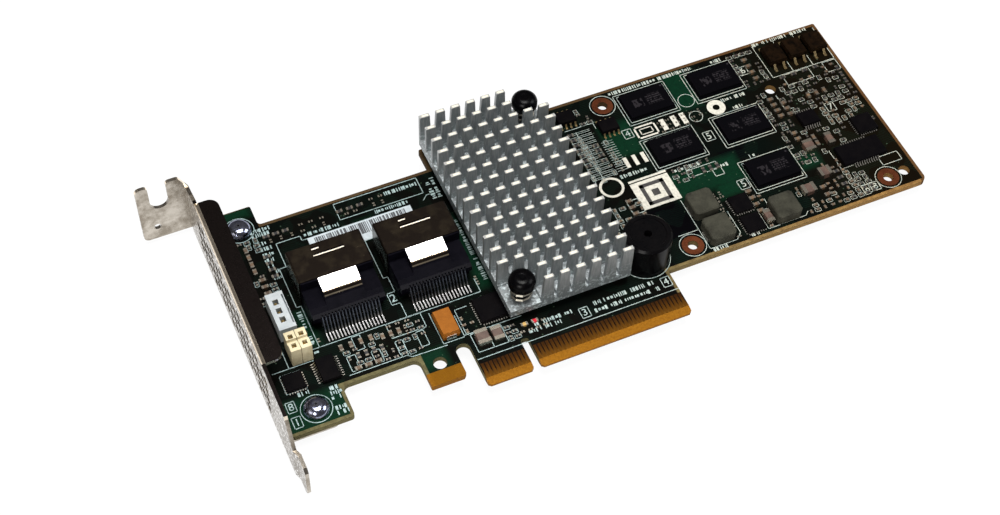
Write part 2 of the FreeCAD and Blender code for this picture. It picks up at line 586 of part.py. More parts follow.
def sas_housing(cx):
    """Plastic body: socket round a slotted nose, then a rear block stepped down for the leads."""
    t = SAS_SHELL_T
    y1, y0, rear = SAS_MOUTH_Y, SAS_SHELL_REAR_Y, SAS_HOUSING_REAR_Y
    top = TOP + SAS_HEIGHT - t
    width = SAS_WIDTH - 2 * t
    side = [(y1 - 0.3, TOP), (y1 - 0.3, top), (y0 - 1.6, top), (SAS_LATCH_Y - 0.8, top - 1.75),
            (rear + 1.0, TOP + 5.1), (rear, TOP + 4.7), (rear, TOP + SAS_OVERHANG_Z),
            (rear + SAS_OVERHANG, TOP + SAS_OVERHANG_Z), (rear + SAS_OVERHANG, TOP)]
    body = prism([V(cx - width / 2.0, y, z) for y, z in side], V(width, 0, 0))
    latch_half = SAS_LATCH_W / 2.0 + 0.15
    cheek = box(cx - width / 2.0 - 1, cx + width / 2.0 + 1, rear - 1, y0 - 0.4, top - 2.6, top + 1)
    keep = box(cx - latch_half, cx + latch_half, rear - 2, y0 + 1, top - 3, top + 2)
    body = body.cut(cheek.cut(keep))
    latch_bed = [(y0 + 0.4, top + 1), (y0 + 0.4, top - 0.05), (SAS_LATCH_Y, top - 1.0),
                 (SAS_LATCH_Y - 1.2, top - 2.1), (SAS_LATCH_Y - 1.2, top + 1)]
    body = body.cut(prism([V(cx - latch_half, y, z) for y, z in latch_bed], V(2 * latch_half, 0, 0)))
    z_mid = TOP + SAS_HEIGHT / 2.0
    socket = box(cx - SAS_SOCKET_W / 2.0, cx + SAS_SOCKET_W / 2.0, y1 - SAS_SOCKET_DEPTH, y1 + 1,
                 z_mid - SAS_SOCKET_H / 2.0, z_mid + SAS_SOCKET_H / 2.0)
    nose_y = y1 - SAS_NOSE_RECESS
    nose = box(cx - SAS_NOSE_W / 2.0, cx + SAS_NOSE_W / 2.0, y1 - SAS_SOCKET_DEPTH - 0.5, nose_y,
               z_mid - SAS_NOSE_H / 2.0, z_mid + SAS_NOSE_H / 2.0)
    body = body.cut(socket).fuse(nose)
    combs = [box(cx - SAS_SLOT_W / 2.0, cx + SAS_SLOT_W / 2.0, nose_y - 3.0, nose_y + 1,
                 z_mid - SAS_SLOT_H / 2.0, z_mid + SAS_SLOT_H / 2.0)]
    for dx in centred_row(SAS_CONTACTS, SAS_PITCH):
        combs.append(centred(cx + dx + SAS_LEAD_SHIFT, rear, SAS_WIRE + 0.06, 2 * SAS_COMB_DEPTH, TOP + 2.5, 3.0))
    return body.cut(Part.makeCompound(combs)).removeSplitter()


def sas_contacts(cx):
    """Bent leads behind the housing, and a row of straight leads under its overhang."""
    rear = SAS_HOUSING_REAR_Y
    leads = []
    for dx in centred_row(SAS_CONTACTS, SAS_PITCH):
        x = cx + dx + SAS_LEAD_SHIFT
        leads.append(gull_wing(x, rear + SAS_COMB_DEPTH, -4.3, 4.25, SAS_WIRE, 0.2))
        leads.append(centred(x, rear + SAS_OVERHANG / 2.0, SAS_WIRE, 0.3, TOP, SAS_OVERHANG_Z))
    return leads


# ---- packaged chips ---------------------------------------------------------------
def memory_chip(centre):
    """Ball-grid package: thin substrate with a slightly smaller moulded cap."""
    x, y = centre
    sx, sy = MEMORY_SIZE
    base = centred(x, y, sx, sy, TOP, 0.35)
    cap = centred(x, y, sx - 0.5, sy - 0.4, TOP + 0.35, MEMORY_T - 0.35)
    return base.fuse(cap).removeSplitter()


def leaded_chip(cx, cy, body, span, leads, pitch, lead_w, along_x=True):
    """Moulded chip with leads on two sides.

    body is (length along the lead rows, width, height) and span is tip to tip across the
    leads. Returns the body and the list of leads.
    """
    length, width, height = body
    package = moulded(cx, cy, length, width, TOP + 0.1, height, 0.18)
    metal = []
    t = 0.14
    lead_z = 0.1 + height / 2.0 + t / 2.0
    reach = (span - width) / 2.0
    for dx in centred_row(leads, pitch):
        for sign in (1.0, -1.0):
            metal.append(gull_wing(cx + dx, cy + sign * width / 2.0, sign * reach, lead_z, lead_w, t))
    if not along_x:
        package = turned(package, cx, cy)
        metal = [turned(m, cx, cy) for m in metal]
    return package, metal


def flat_chip(cx, cy, sx, sy, height):
    """Leadless chip standing on its pads."""
    body = centred(cx, cy, sx, sy, TOP, height)
    return body.makeChamfer(0.12, [e for e in body.Edges if on_top(e, TOP + height)])


def on_top(edge, z):
    """True when both ends of the edge lie at height z."""
    return all(abs(v.Point.z - z) < 1e-6 for v in edge.Vertexes)


def is_upright(edge):
    """True when the edge runs along Z."""
    a, b = edge.Vertexes[0].Point, edge.Vertexes[-1].Point
    return abs(a.x - b.x) < 1e-6 and abs(a.y - b.y) < 1e-6


def power_transistor(cx, cy):
    """Power package with a rear heat tab and two front leads. Returns body and metal."""
    tab_t, length, height = 0.2, 5.9, 2.1
    body = moulded(cx, cy - 0.2, 5.0, length, TOP + tab_t, height, 0.2)
    metal = [centred(cx, cy + 0.6, 4.3, 6.6, TOP, tab_t)]
    for dx in (-1.3, 1.3):
        metal.append(gull_wing(cx + dx, cy - 0.2 - length / 2.0, -1.75, tab_t + height / 2.0, 0.7, 0.25))
    return body, metal


# ---- passive parts ----------------------------------------------------------------
def buzzer():
    """Round sounder with a chamfered rim, a shallow top step and a sound port."""
    x, y = BUZZER_CENTRE
    r, z0, z1 = BUZZER_D / 2.0, TOP, TOP + BUZZER_H
    outline = [(0, z0), (r, z0), (r, z1 - 0.5), (r - 0.5, z1), (r - 1.4, z1),
               (r - 1.5, z1 - 0.2), (BUZZER_PORT_D / 2.0, z1 - 0.2),
               (BUZZER_PORT_D / 2.0, z1 - 2.4), (0, z1 - 2.4)]
    profile = Part.Face(Part.makePolygon([V(a, 0, b) for a, b in outline + [outline[0]]]))
    case = profile.revolve(V(0, 0, 0), V(0, 0, 1), 360)
    case.translate(V(x, y, 0))
    return case


def inductor(centre):
    """Pressed-powder inductor with bevelled upright corners and top edges."""
    x, y = centre
    sx, sy, height = INDUCTOR_SIZE
    body = centred(x, y, sx, sy, TOP + TERMINAL_T, height - TERMINAL_T)
    body = body.makeChamfer(0.7, [e for e in body.Edges if is_upright(e)])
    return body.makeChamfer(0.25, [e for e in body.Edges if on_top(e, TOP + height)])


def inductor_terminals(centre):
    """Two tinned strips under an inductor, showing at its left and right ends."""
    x, y = centre
    sx = INDUCTOR_SIZE[0]
    w = INDUCTOR_TERMINAL_W
    left = box(x - sx / 2.0 - 0.25, x - sx / 2.0 + 1.2, y - w / 2.0, y + w / 2.0, TOP, TOP + TERMINAL_T)
    right = box(x + sx / 2.0 - 1.2, x + sx / 2.0 + 0.25, y - w / 2.0, y + w / 2.0, TOP, TOP + TERMINAL_T)
    return [left, right]


def tantalum():
    """Moulded capacitor with a wrapped terminal at each end. Returns case and terminals."""
    x, y = TANTALUM_CENTRE
    sx, sy, height = TANTALUM_SIZE
    case = moulded(x, y, sx, sy - 2 * TERMINAL_T, TOP + TERMINAL_T, height - TERMINAL_T, 0.2)
    terminals = []
    for sign in (1.0, -1.0):
        edge = y + sign * sy / 2.0
        inner = edge - sign * TERMINAL_T
        under = edge - sign * 1.3
        profile = [(edge, TOP), (edge, TOP + 1.6), (inner, TOP + 1.6), (inner, TOP + TERMINAL_T),
                   (under, TOP + TERMINAL_T), (under, TOP)]
        terminals.append(prism([V(x - 1.2, a, b) for a, b in profile], V(2.4, 0, 0)))
    return case.cut(Part.makeCompound(terminals)), terminals


def header_housing():
    """Three-way plastic header with square sockets and a side rib."""
    x, y = HEADER_CENTRE
    sx, sy, height = HEADER_SIZE
    body = centred(x, y, sx, sy, TOP, height)
    wells = [centred(x - 0.3, y + dy, 1.3, 1.5, TOP + 0.8, height) for dy in centred_row(3, HEADER_PITCH)]
    rib = centred(x + sx / 2.0 - 0.35, y, 0.4, sy - 2.0, TOP + height - 1.4, 2.0)
    return body.cut(Part.makeCompound(wells + [rib]))


def header_pins():
    x, y = HEADER_CENTRE
    height = HEADER_SIZE[2]
    return [centred(x - 0.3, y + dy, POST_W, POST_W, TOP + 0.8, height - 1.6)
            for dy in centred_row(3, HEADER_PITCH)]


def jumper_caps():
    """Two pull-off caps side by side, open on top so the posts show."""
    caps = []
    sx, sy, height = JUMPER_SIZE
    for dx in centred_row(2, JUMPER_PITCH):
        x, y = JUMPER_CENTRE[0] + dx, JUMPER_CENTRE[1]
        cap = centred(x, y, sx, sy, TOP, height)
        wells = [centred(x, y + dy, 1.1, 1.1, TOP - 1, height + 3) for dy in centred_row(2, JUMPER_PITCH)]
        saddle = centred(x, y, sx + 1, 1.0, TOP + height - 0.9, 2.0)
        caps.append(cap.cut(Part.makeCompound(wells + [saddle])))
    return caps


def jumper_posts():
    posts = []
    height = JUMPER_SIZE[2]
    for dx in centred_row(2, JUMPER_PITCH):
        for dy in centred_row(2, JUMPER_PITCH):
            post = centred(JUMPER_CENTRE[0] + dx, JUMPER_CENTRE[1] + dy, POST_W, POST_W, TOP, height - 0.4)
            posts.append(post.makeChamfer(0.15, [e for e in post.Edges if on_top(e, TOP + height - 0.4)]))
    return posts


# Larger ceramic capacitors: centre, size along X and Y, height.
FILTER_CAPACITORS = [
    (-8.8, 11.6, 3.0, 3.8, 1.9), (-5.2, 11.5, 2.4, 3.6, 1.4), (81.5, 20.6, 3.4, 2.6, 1.5),
    (88.2, 32.4, 2.6, 3.2, 1.6), (87.7, 23.7, 3.0, 2.6, 1.6), (94.2, 32.6, 1.7, 3.4, 1.4),
    (68.4, 17.0, 1.7, 3.6, 1.5),
]
# Rows of small parts: first centre, how many, step, and whether the long side lies along X.
CAPACITOR_ROWS = [
    (87.0, BOARD_HEIGHT - 4.9, 4, (0.0, -2.2), True), (86.8, 49.6, 4, (0.0, -1.9), True),
    (89.4, 47.4, 3, (0.0, -1.9), True), (87.0, 37.6, 2, (0.0, -1.9), True),
    (90.9, 34.6, 2, (0.0, -2.1), False), (67.6, 25.8, 4, (0.0, -2.1), True),
    (85.2, 20.0, 2, (0.0, -2.4), True), (-50.4, 55.6, 4, (0.0, -2.2), False),
    (-49.6, 46.2, 3, (0.0, -2.0), True), (-39.4, 21.6, 4, (2.4, 0.0), False),
    (-29.6, 20.9, 3, (2.0, 0.0), False), (-37.6, 15.2, 3, (2.4, 0.0), True),
    (BOARD_RIGHT - 13.9, 47.2, 3, (2.3, 0.0), False), (39.4, 34.2, 3, (0.0, -2.0), True),
]
RESISTOR_ROWS = [
    (35.2, 58.4, 7, (0.0, -1.75), True), (39.6, 53.2, 4, (0.0, -1.7), True),
    (BOARD_RIGHT - 16.9, 55.2, 4, (3.2, 0.0), True), (BOARD_RIGHT - 2.3, 52.6, 4, (0.0, -2.2), False),
    (60.8, 36.0, 3, (1.9, 0.0), False), (-46.4, 52.4, 4, (0.0, -2.0), True),
    (-36.4, 18.4, 4, (1.9, 0.0), False), (90.8, 23.2, 3, (0.0, -2.1), True),
    (-44.6, REAR_EDGE_Y - 4.3, 3, (2.4, 0.0), True), (-26.0, REAR_EDGE_Y - 3.9, 3, (2.6, 0.0), True),
]
CAPACITOR_SIZE = (1.6, 0.85, 0.8)
RESISTOR_SIZE = (1.55, 0.8, 0.45)


def small_parts(rows, size):
    """Chip components laid out in rows."""
    length, width, height = size
    parts = []
    for x, y, count, (dx, dy), lengthwise in rows:
        sx, sy = (length, width) if lengthwise else (width, length)
        for i in range(count):
            parts.append(centred(x + i * dx, y + i * dy, sx, sy, TOP, height))
    return parts


def build():
    os.makedirs("parts", exist_ok=True)

    save("circuit_board", circuit_board())
    save("edge_contacts_front", edge_contacts(TOP, TOP + CONTACT_T))
    save("edge_contacts_back", edge_contacts(BOTTOM - CONTACT_T, BOTTOM))
    save("bracket", bracket())
    save("bracket_screws", [bracket_screw(x, y) for x, y in BRACKET_SCREWS])

    save("heatsink", heatsink())
    save("controller_substrate", controller_substrate())
    save("controller_lid", controller_lid())
    save("thermal_pad", thermal_pad())
    save("push_pins", [push_pin(x, y) for x, y in push_pin_centres()])
    save("push_pin_springs", [push_pin_spring(x, y) for x, y in push_pin_centres()])

    for number, cx in enumerate(SAS_CENTRES, 1):
        save("sas_shell_%d" % number, sas_shell(cx))
        save("sas_housing_%d" % number, sas_housing(cx))
        save("sas_contacts_%d" % number, sas_contacts(cx))

    for number, centre in enumerate(MEMORY_CENTRES, 1):
        save("memory_chip_%d" % number, memory_chip(centre))

    flash, flash_leads = leaded_chip(BOARD_RIGHT - 10.9, 26.4, (12.2, 6.1, 1.0), 8.1, 11, 0.65, 0.26)
    save("flash_chip", flash)
    save("flash_leads", flash_leads)
    bridge, bridge_leads = leaded_chip(-44.1, 17.7, (6.5, 4.4, 1.0), 6.4, 9, 0.65, 0.26, along_x=False)
    save("bridge_chip", bridge)
    save("bridge_leads", bridge_leads)
    monitor, monitor_leads = leaded_chip(BOARD_RIGHT - 17.7, 40.6, (5.0, 4.4, 1.0), 6.4, 7, 0.65, 0.26)
    save("monitor_chip", monitor)
    save("monitor_leads", monitor_leads)
    eeprom_a, leads_a = leaded_chip(36.1, BOARD_HEIGHT - 5.2, (4.9, 3.9, 1.5), 6.0, 4, 1.27, 0.42)
    eeprom_b, leads_b = leaded_chip(45.0, BOARD_HEIGHT - 11.6, (4.9, 3.9, 1.5), 6.0, 4, 1.27, 0.42)
    save("eeprom_chips", [eeprom_a, eeprom_b])
    save("eeprom_leads", leads_a + leads_b)

    save("power_chips", [flat_chip(64.2, 23.3, 5.0, 5.0, 0.9), flat_chip(64.2, 17.0, 5.0, 5.0, 0.9)])
    save("regulator_chip", flat_chip(-3.7, 18.8, 7.2, 6.8, 1.2))
    save("interface_chip", flat_chip(-52.2, 17.4, 4.6, 4.6, 0.9))
    save("logic_chip", flat_chip(BOARD_RIGHT - 5.6, 33.8, 5.4, 5.4, 1.0))

    bodies, tabs = [], []
    for from_right in POWER_FROM_RIGHT:
        body, metal = power_transistor(BOARD_RIGHT - from_right, BOARD_HEIGHT - POWER_FROM_TOP)
        bodies.append(body)
        tabs += metal
    save("power_transistors", bodies)
    save("power_transistor_leads", tabs)

    save("buzzer", buzzer())
    for number, centre in enumerate(INDUCTOR_CENTRES, 1):
        save("inductor_%d" % number, inductor(centre))
    save("inductor_terminals", [t for c in INDUCTOR_CENTRES for t in inductor_terminals(c)])
    case, terminals = tantalum()
    save("tantalum_case", case)
    save("tantalum_terminals", terminals)
    save("filter_capacitors", [flat_chip(*place_and_size) for place_and_size in FILTER_CAPACITORS])

    save("header_housing", header_housing())
    save("header_pins", header_pins())
    save("jumper_caps", jumper_caps())
    save("jumper_posts", jumper_posts())

    save("indicator_lamps", [centred(x, 11.6, 1.6, 0.85, TOP, 0.6) for x in (1.6, 4.2)])
    save("small_capacitors", small_parts(CAPACITOR_ROWS, CAPACITOR_SIZE))
    save("small_resistors", small_parts(RESISTOR_ROWS, RESISTOR_SIZE))
    save("bar_label", centred(-22.7, 51.0, 26.2, 5.8, TOP, 0.1))


build()
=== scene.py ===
"""Looks for a low-profile storage controller card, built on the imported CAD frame.

All sizes in the classes below are millimetres in the card's own frame: the origin is the
key notch on the tip line of the contacts, +X runs away from the bracket, +Y to the top
edge and +Z out of the component side.
"""

import json
import logging
import math
import random
from dataclasses import dataclass, field
from enum import Enum
from typing import Dict, Iterable, List, Optional, Sequence, Tuple, Type, Union

import bmesh
import bpy
from mathutils import Matrix, Vector

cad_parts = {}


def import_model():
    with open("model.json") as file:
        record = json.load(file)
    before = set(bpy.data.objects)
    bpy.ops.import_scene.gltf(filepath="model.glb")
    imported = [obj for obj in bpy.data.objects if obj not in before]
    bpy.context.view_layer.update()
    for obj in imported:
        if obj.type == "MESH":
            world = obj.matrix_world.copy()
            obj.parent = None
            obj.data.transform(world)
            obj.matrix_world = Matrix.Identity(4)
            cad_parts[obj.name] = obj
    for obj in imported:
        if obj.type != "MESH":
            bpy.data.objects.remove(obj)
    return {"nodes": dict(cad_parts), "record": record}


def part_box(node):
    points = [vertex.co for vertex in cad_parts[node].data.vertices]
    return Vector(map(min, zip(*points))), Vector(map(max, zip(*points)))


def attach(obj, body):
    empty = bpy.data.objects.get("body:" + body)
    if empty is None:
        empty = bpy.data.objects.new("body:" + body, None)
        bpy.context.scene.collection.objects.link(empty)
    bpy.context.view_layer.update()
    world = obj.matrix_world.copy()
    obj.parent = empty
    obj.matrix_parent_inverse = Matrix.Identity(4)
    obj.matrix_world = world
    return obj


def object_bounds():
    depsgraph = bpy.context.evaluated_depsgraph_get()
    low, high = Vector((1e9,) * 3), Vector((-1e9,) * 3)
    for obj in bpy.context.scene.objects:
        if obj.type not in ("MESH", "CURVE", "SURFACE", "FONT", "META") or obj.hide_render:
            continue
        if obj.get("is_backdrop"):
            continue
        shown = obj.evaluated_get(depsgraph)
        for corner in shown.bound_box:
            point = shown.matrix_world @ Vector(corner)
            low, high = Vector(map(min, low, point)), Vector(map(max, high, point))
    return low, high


LOG = logging.getLogger("controller_card")
MM = 0.001
BODY = "root"
SUNK = 0.005  # how far ink and pads start inside the board, in millimetres

Point = Tuple[float, float]
Triple = Tuple[float, float, float]
Area = Tuple[float, float, float, float]
Comb = Tuple[float, float, float, float, float]
Box = Tuple[Vector, Vector]
Colour = Triple


# ---- shader maths -----------------------------------------------------------------
class Val:
    """A shader output that can be used in ordinary arithmetic."""

    def __init__(self, graph: "Graph", socket: bpy.types.NodeSocket) -> None:
        """Wraps one output socket.

        Args:
            graph: The graph that new nodes are added to.
            socket: The output that this value stands for.
        """
        self.graph = graph
        self.socket = socket

    def _math(self, operation: str, *others: "Number", swap: bool = False) -> "Val":
        """Adds a Math node on this value.

        Args:
            operation: The Math node's operation.
            others: The remaining operands.
            swap: True when this value is the second operand.

        Returns:
            The node's result.
        """
        operands = list(others)
        operands.insert(1 if swap else 0, self)
        inputs = dict(enumerate(operands))
        return self.graph.node("ShaderNodeMath", {"operation": operation}, inputs)

    def __add__(self, other: "Number") -> "Val":
        """Sum."""
        return self._math("ADD", other)

    def __radd__(self, other: "Number") -> "Val":
        """Sum with a plain number first."""
        return self._math("ADD", other, swap=True)

    def __sub__(self, other: "Number") -> "Val":
        """Difference."""
        return self._math("SUBTRACT", other)

    def __rsub__(self, other: "Number") -> "Val":
        """Difference with a plain number first."""
        return self._math("SUBTRACT", other, swap=True)

    def __mul__(self, other: "Number") -> "Val":
        """Product."""
        return self._math("MULTIPLY", other)

    def __truediv__(self, other: "Number") -> "Val":
        """Quotient."""
        return self._math("DIVIDE", other)

    def __abs__(self) -> "Val":
        """Magnitude."""
        return self._math("ABSOLUTE")

    def above(self, limit: "Number") -> "Val":
        """1 where this value is over limit, else 0."""
        return self._math("GREATER_THAN", limit)

    def below(self, limit: "Number") -> "Val":
        """1 where this value is under limit, else 0."""
        return self._math("LESS_THAN", limit)

    def least(self, other: "Number") -> "Val":
        """The smaller of the two."""
        return self._math("MINIMUM", other)

    def most(self, other: "Number") -> "Val":
        """The larger of the two."""
        return self._math("MAXIMUM", other)

    def fract(self) -> "Val":
        """Fractional part."""
        return self._math("FRACT")

    def clamped(self) -> "Val":
        """This value held between 0 and 1."""
        return self.least(1.0).most(0.0)

    def ramp(self, low: float, high: float) -> "Val":
        """This value stretched so that low becomes 0 and high becomes 1, and clamped."""
        return ((self - low) / (high - low)).clamped()

    def between(self, low: "Number", high: "Number") -> "Val":
        """1 where this value is over low and under high, else 0."""
        return self.above(low) * self.below(high)


Number = Union[Val, float]
Paint = Union[Val, Colour]


class Graph:
    """The node tree of one material, with its main shader ready."""

    def __init__(self, name: str) -> None:
        """Starts an empty material.

        Args:
            name: The material's name.
        """
        self.material = bpy.data.materials.new(name)
        self.material.use_nodes = True
        self.tree = self.material.node_tree
        self.tree.nodes.clear()
        self.shader = self.tree.nodes.new("ShaderNodeBsdfPrincipled")
        output = self.tree.nodes.new("ShaderNodeOutputMaterial")
        self.tree.links.new(self.shader.outputs["BSDF"], output.inputs["Surface"])

    def _feed(self, socket: bpy.types.NodeSocket, value: object) -> None:
        """Links an output to a socket, or sets the socket to a plain value.

        Args:
            socket: The input.
            value: Another node's output, a colour of three numbers or any other value.
        """
        if isinstance(value, Val):
            self.tree.links.new(value.socket, socket)
        elif isinstance(value, tuple) and len(value) == 3 and socket.type == "RGBA":
            socket.default_value = (*value, 1.0)
        else:
            socket.default_value = value

    def node(
        self,
        kind: str,
        settings: Optional[Dict[str, object]] = None,
        inputs: Optional[Dict[Union[str, int], object]] = None,
        output: Union[str, int] = 0,
    ) -> Val:
        """Adds a node.

        Args:
            kind: The node's type.
            settings: Its properties, set before the sockets.
            inputs: Socket names or numbers to values, or to other outputs.
            output: The output that is wanted.

        Returns:
            The wanted output.
        """
        made = self.tree.nodes.new(kind)
        for key, value in (settings or {}).items():
            setattr(made, key, value)
        for key, value in (inputs or {}).items():
            self._feed(made.inputs[key], value)
        return Val(self, made.outputs[output])

    def place(self) -> Val:
        """Object coordinates, in millimetres."""
        raw = self.node("ShaderNodeTexCoord", output="Object")
        return self.node("ShaderNodeVectorMath", {"operation": "SCALE"}, {0: raw, "Scale": 1 / MM})

    def axes(self) -> Tuple[Val, Val, Val]:
        """Object coordinates, in millimetres, as three numbers."""
        split = self.tree.nodes.new("ShaderNodeSeparateXYZ")
        self.tree.links.new(self.place().socket, split.inputs[0])
        return Val(self, split.outputs[0]), Val(self, split.outputs[1]), Val(self, split.outputs[2])

    def facing(self, axis: int) -> Val:
        """One component of the surface normal, in the card's frame."""
        normal = self.node("ShaderNodeTexCoord", output="Normal")
        return self.node("ShaderNodeSeparateXYZ", None, {0: normal}, axis)

    def stretched(self, x: float, y: float, z: float) -> Val:
        """Object coordinates in millimetres, with each axis multiplied."""
        return self.node(
            "ShaderNodeVectorMath", {"operation": "MULTIPLY"}, {0: self.place(), 1: (x, y, z)}
        )

    def noise(self, scale: float, detail: float = 2.0, at: Optional[Val] = None) -> Val:
        """Soft noise between 0 and 1.

        Args:
            scale: Cycles in a millimetre.
            detail: Number of finer layers.
            at: Where it is read, if not at the object coordinates.

        Returns:
            The noise's value.
        """
        return self.node(
            "ShaderNodeTexNoise",
            None,
            {"Vector": at or self.place(), "Scale": scale, "Detail": detail, "Roughness": 0.6},
        )

    def cells(self, scale: float) -> Val:
        """Distance to the middle of Voronoi cells, with scale cells in a millimetre."""
        inputs = {"Vector": self.place(), "Scale": scale}
        return self.node("ShaderNodeTexVoronoi", None, inputs, "Distance")

    def mixed(self, factor: Number, first: Paint, second: Paint) -> Val:
        """Colour between first (factor 0) and second (factor 1)."""
        return self.node(
            "ShaderNodeMix", {"data_type": "RGBA"}, {0: factor, 6: first, 7: second}, 2
        )

    def bump(self, height: Val, strength: float, depth: float) -> Val:
        """Normal disturbed by a height.

        Args:
            height: Height between 0 and 1.
            strength: How strongly it shows.
            depth: Size of the disturbance, in millimetres.

        Returns:
            The new normal.
        """
        return self.node(
            "ShaderNodeBump", None, {"Height": height, "Strength": strength, "Distance": depth * MM}
        )

    def within(self, x0: float, x1: float, y0: float, y1: float, soft: float) -> Val:
        """Mask that is 1 inside a rectangle in plan and fades round it.

        Args:
            x0: Left side.
            x1: Right side.
            y0: Lower side.
            y1: Upper side.
            soft: Width over which the mask fades outwards.

        Returns:
            The mask.
        """
        x, y, _ = self.axes()
        across = abs(x - (x0 + x1) / 2) - (x1 - x0) / 2
        along = abs(y - (y0 + y1) / 2) - (y1 - y0) / 2
        return (1.0 - across.most(along) / soft).clamped()

    def surface(self, **values: object) -> bpy.types.Material:
        """Sets the main shader's sockets and returns the material.

        Args:
            values: Socket names, with underscores for spaces, to values or outputs.

        Returns:
            The finished material.
        """
        for key, value in values.items():
            self._feed(self.shader.inputs[key.replace("_", " ")], value)
        return self.material


# ---- finishes ---------------------------------------------------------------------
class Grain(Enum):
    """Direction in which a metal surface is streaked, as a stretch of each axis."""

    ALONG_X = (0.05, 1.0, 1.0)
    NONE = (1.0, 1.0, 1.0)


@dataclass(frozen=True)
class MetalFinish:
    """Plain or plated metal with streaks, smudges and fine scratches.

    Attributes:
        colour: Reflected colour.
        smudge: Colour of the duller patches.
        roughness: Middle roughness.
        spread: How far the roughness varies.
        grain: Direction of the streaks.
        scale: Streaks in a millimetre.
        relief: Depth of the streaks, in millimetres.
    """

    colour: Colour
    smudge: Colour
    roughness: float = 0.3
    spread: float = 0.12
    grain: Grain = Grain.NONE
    scale: float = 3.0
    relief: float = 0.01

    def make(self, name: str) -> bpy.types.Material:
        """Builds the material.

        Args:
            name: Its name.

        Returns:
            The material.
        """
        g = Graph(name)
        streak = g.noise(self.scale, 4.0, g.stretched(*self.grain.value))
        patch = g.noise(0.25, 3.0)
        colour = g.mixed((streak * 0.5 + patch * 0.5).ramp(0.4, 0.66), self.colour, self.smudge)
        rough = streak * self.spread + patch * self.spread + (self.roughness - self.spread)
        return g.surface(
            Base_Color=colour,
            Metallic=1.0,
            Roughness=rough.clamped(),
            Normal=g.bump(streak, 0.35, self.relief),
        )


@dataclass(frozen=True)
class MouldedFinish:
    """Moulded plastic or epoxy with a fine cast grain.

    Attributes:
        colour: Main colour.
        tint: Colour of slow variations.
        roughness: Middle roughness.
        grain: Cells of grain in a millimetre.
        relief: Depth of the grain, in millimetres.
        gloss: Specular level.
    """

    colour: Colour
    tint: Colour
    roughness: float = 0.5
    grain: float = 7.0
    relief: float = 0.012
    gloss: float = 0.5

    def make(self, name: str) -> bpy.types.Material:
        """Builds the material.

        Args:
            name: Its name.

        Returns:
            The material.
        """
        g = Graph(name)
        fine = g.noise(self.grain, 3.0)
        slow = g.noise(0.35, 3.0)
        colour = g.mixed((slow * 0.7 + fine * 0.3).ramp(0.35, 0.7), self.colour, self.tint)
        return g.surface(
            Base_Color=colour,
            Roughness=(fine * 0.16 + slow * 0.1 + (self.roughness - 0.13)).clamped(),
            Specular_IOR_Level=self.gloss,
            Normal=g.bump(fine, 0.4, self.relief),
        )


@dataclass(frozen=True)
class MarkedChipFinish:
    """Black package with faint laser marks on its top.

    Attributes:
        low: Lower left corner of the package.
        high: Upper right corner of the package.
        top: Height of its top face.
        mark: Colour of the marks.
    """

    low: Point
    high: Point
    top: float
    mark: Colour = (0.042, 0.037, 0.042)

    def make(self, name: str) -> bpy.types.Material:
        """Builds the material.

        Args:
            name: Its name.

        Returns:
            The material.
        """
        g = Graph(name)
        x, y, z = g.axes()
        width, depth = self.high[0] - self.low[0], self.high[1] - self.low[1]
        u = (x - self.low[0]) / width
        v = (y - self.low[1]) / depth
        fine = g.noise(6.0, 4.0)
        on_top = z.above(self.top - 0.05)
        line = (v * 12.0).fract().above(0.42)
        rows = v.between(0.32, 0.72) * u.between(0.5, 0.84)
        strokes = g.noise(2.6, 1.0, g.stretched(1.0, 0.4, 1.0)).above(0.47)
        blot = v.between(0.3, 0.66) * u.between(0.2, 0.42)
        smear = g.noise(0.9, 2.0, g.stretched(1.4, 0.8, 1.0)).above(0.52)
        corner = abs(u - 0.93).below(0.02) * abs(v - 0.9).below(0.03)
        ink = (rows * line * strokes + blot * smear * 0.8 + corner).clamped() * on_top
        base = g.mixed(fine.ramp(0.3, 0.75), (0.0008, 0.0008, 0.0013), (0.0019, 0.0017, 0.0024))
        return g.surface(
            Base_Color=g.mixed(ink * 0.38, base, self.mark),
            Roughness=(fine * 0.2 + 0.32 + ink * 0.12).clamped(),
            Specular_IOR_Level=0.02,
            Normal=g.bump(fine, 0.3, 0.01),
        )


@dataclass(frozen=True)
class CeramicFinish:
    """Fired body of a small part, a little uneven in colour.

    Attributes:
        colour: Main colour.
        tint: Colour of slow variations.
    """

    colour: Colour
    tint: Colour

    def make(self, name: str) -> bpy.types.Material:
        """Builds the material.

        Args:
            name: Its name.

        Returns:
            The material.
        """
        g = Graph(name)
        each = g.noise(0.45, 1.0)
        fine = g.noise(5.0, 3.0)
        colour = g.mixed((each * 0.7 + fine * 0.3).ramp(0.35, 0.65), self.colour, self.tint)
        return g.surface(
            Base_Color=colour,
            Roughness=(fine * 0.3 + 0.3).clamped(),
            Normal=g.bump(fine, 0.3, 0.01),
        )


@dataclass(frozen=True)
class InkFinish:
    """Printed ink, slightly worn and uneven.

    Attributes:
        colour: Fresh ink at the bracket's end of the card.
        worn: Worn ink.
        far: Fresh ink at the other end.
    """

    colour: Colour = (0.28, 0.37, 0.37)
    worn: Colour = (0.11, 0.16, 0.16)
    far: Colour = (0.37, 0.365, 0.30)

    def make(self, name: str) -> bpy.types.Material:
        """Builds the material.

        Args:
            name: Its name.

        Returns:
            The material.
        """
        g = Graph(name)
        x, _, _ = g.axes()
        wear = g.noise(1.3, 4.0)
        fresh = g.mixed(x.ramp(-10.0, 90.0), self.colour, self.far)
        return g.surface(
            Base_Color=g.mixed(wear.ramp(0.42, 0.68), fresh, self.worn),
            Roughness=(wear * 0.2 + 0.45).clamped(),
            Normal=g.bump(wear, 0.2, 0.005),
        )


Finish = Union[MetalFinish, MouldedFinish, CeramicFinish]


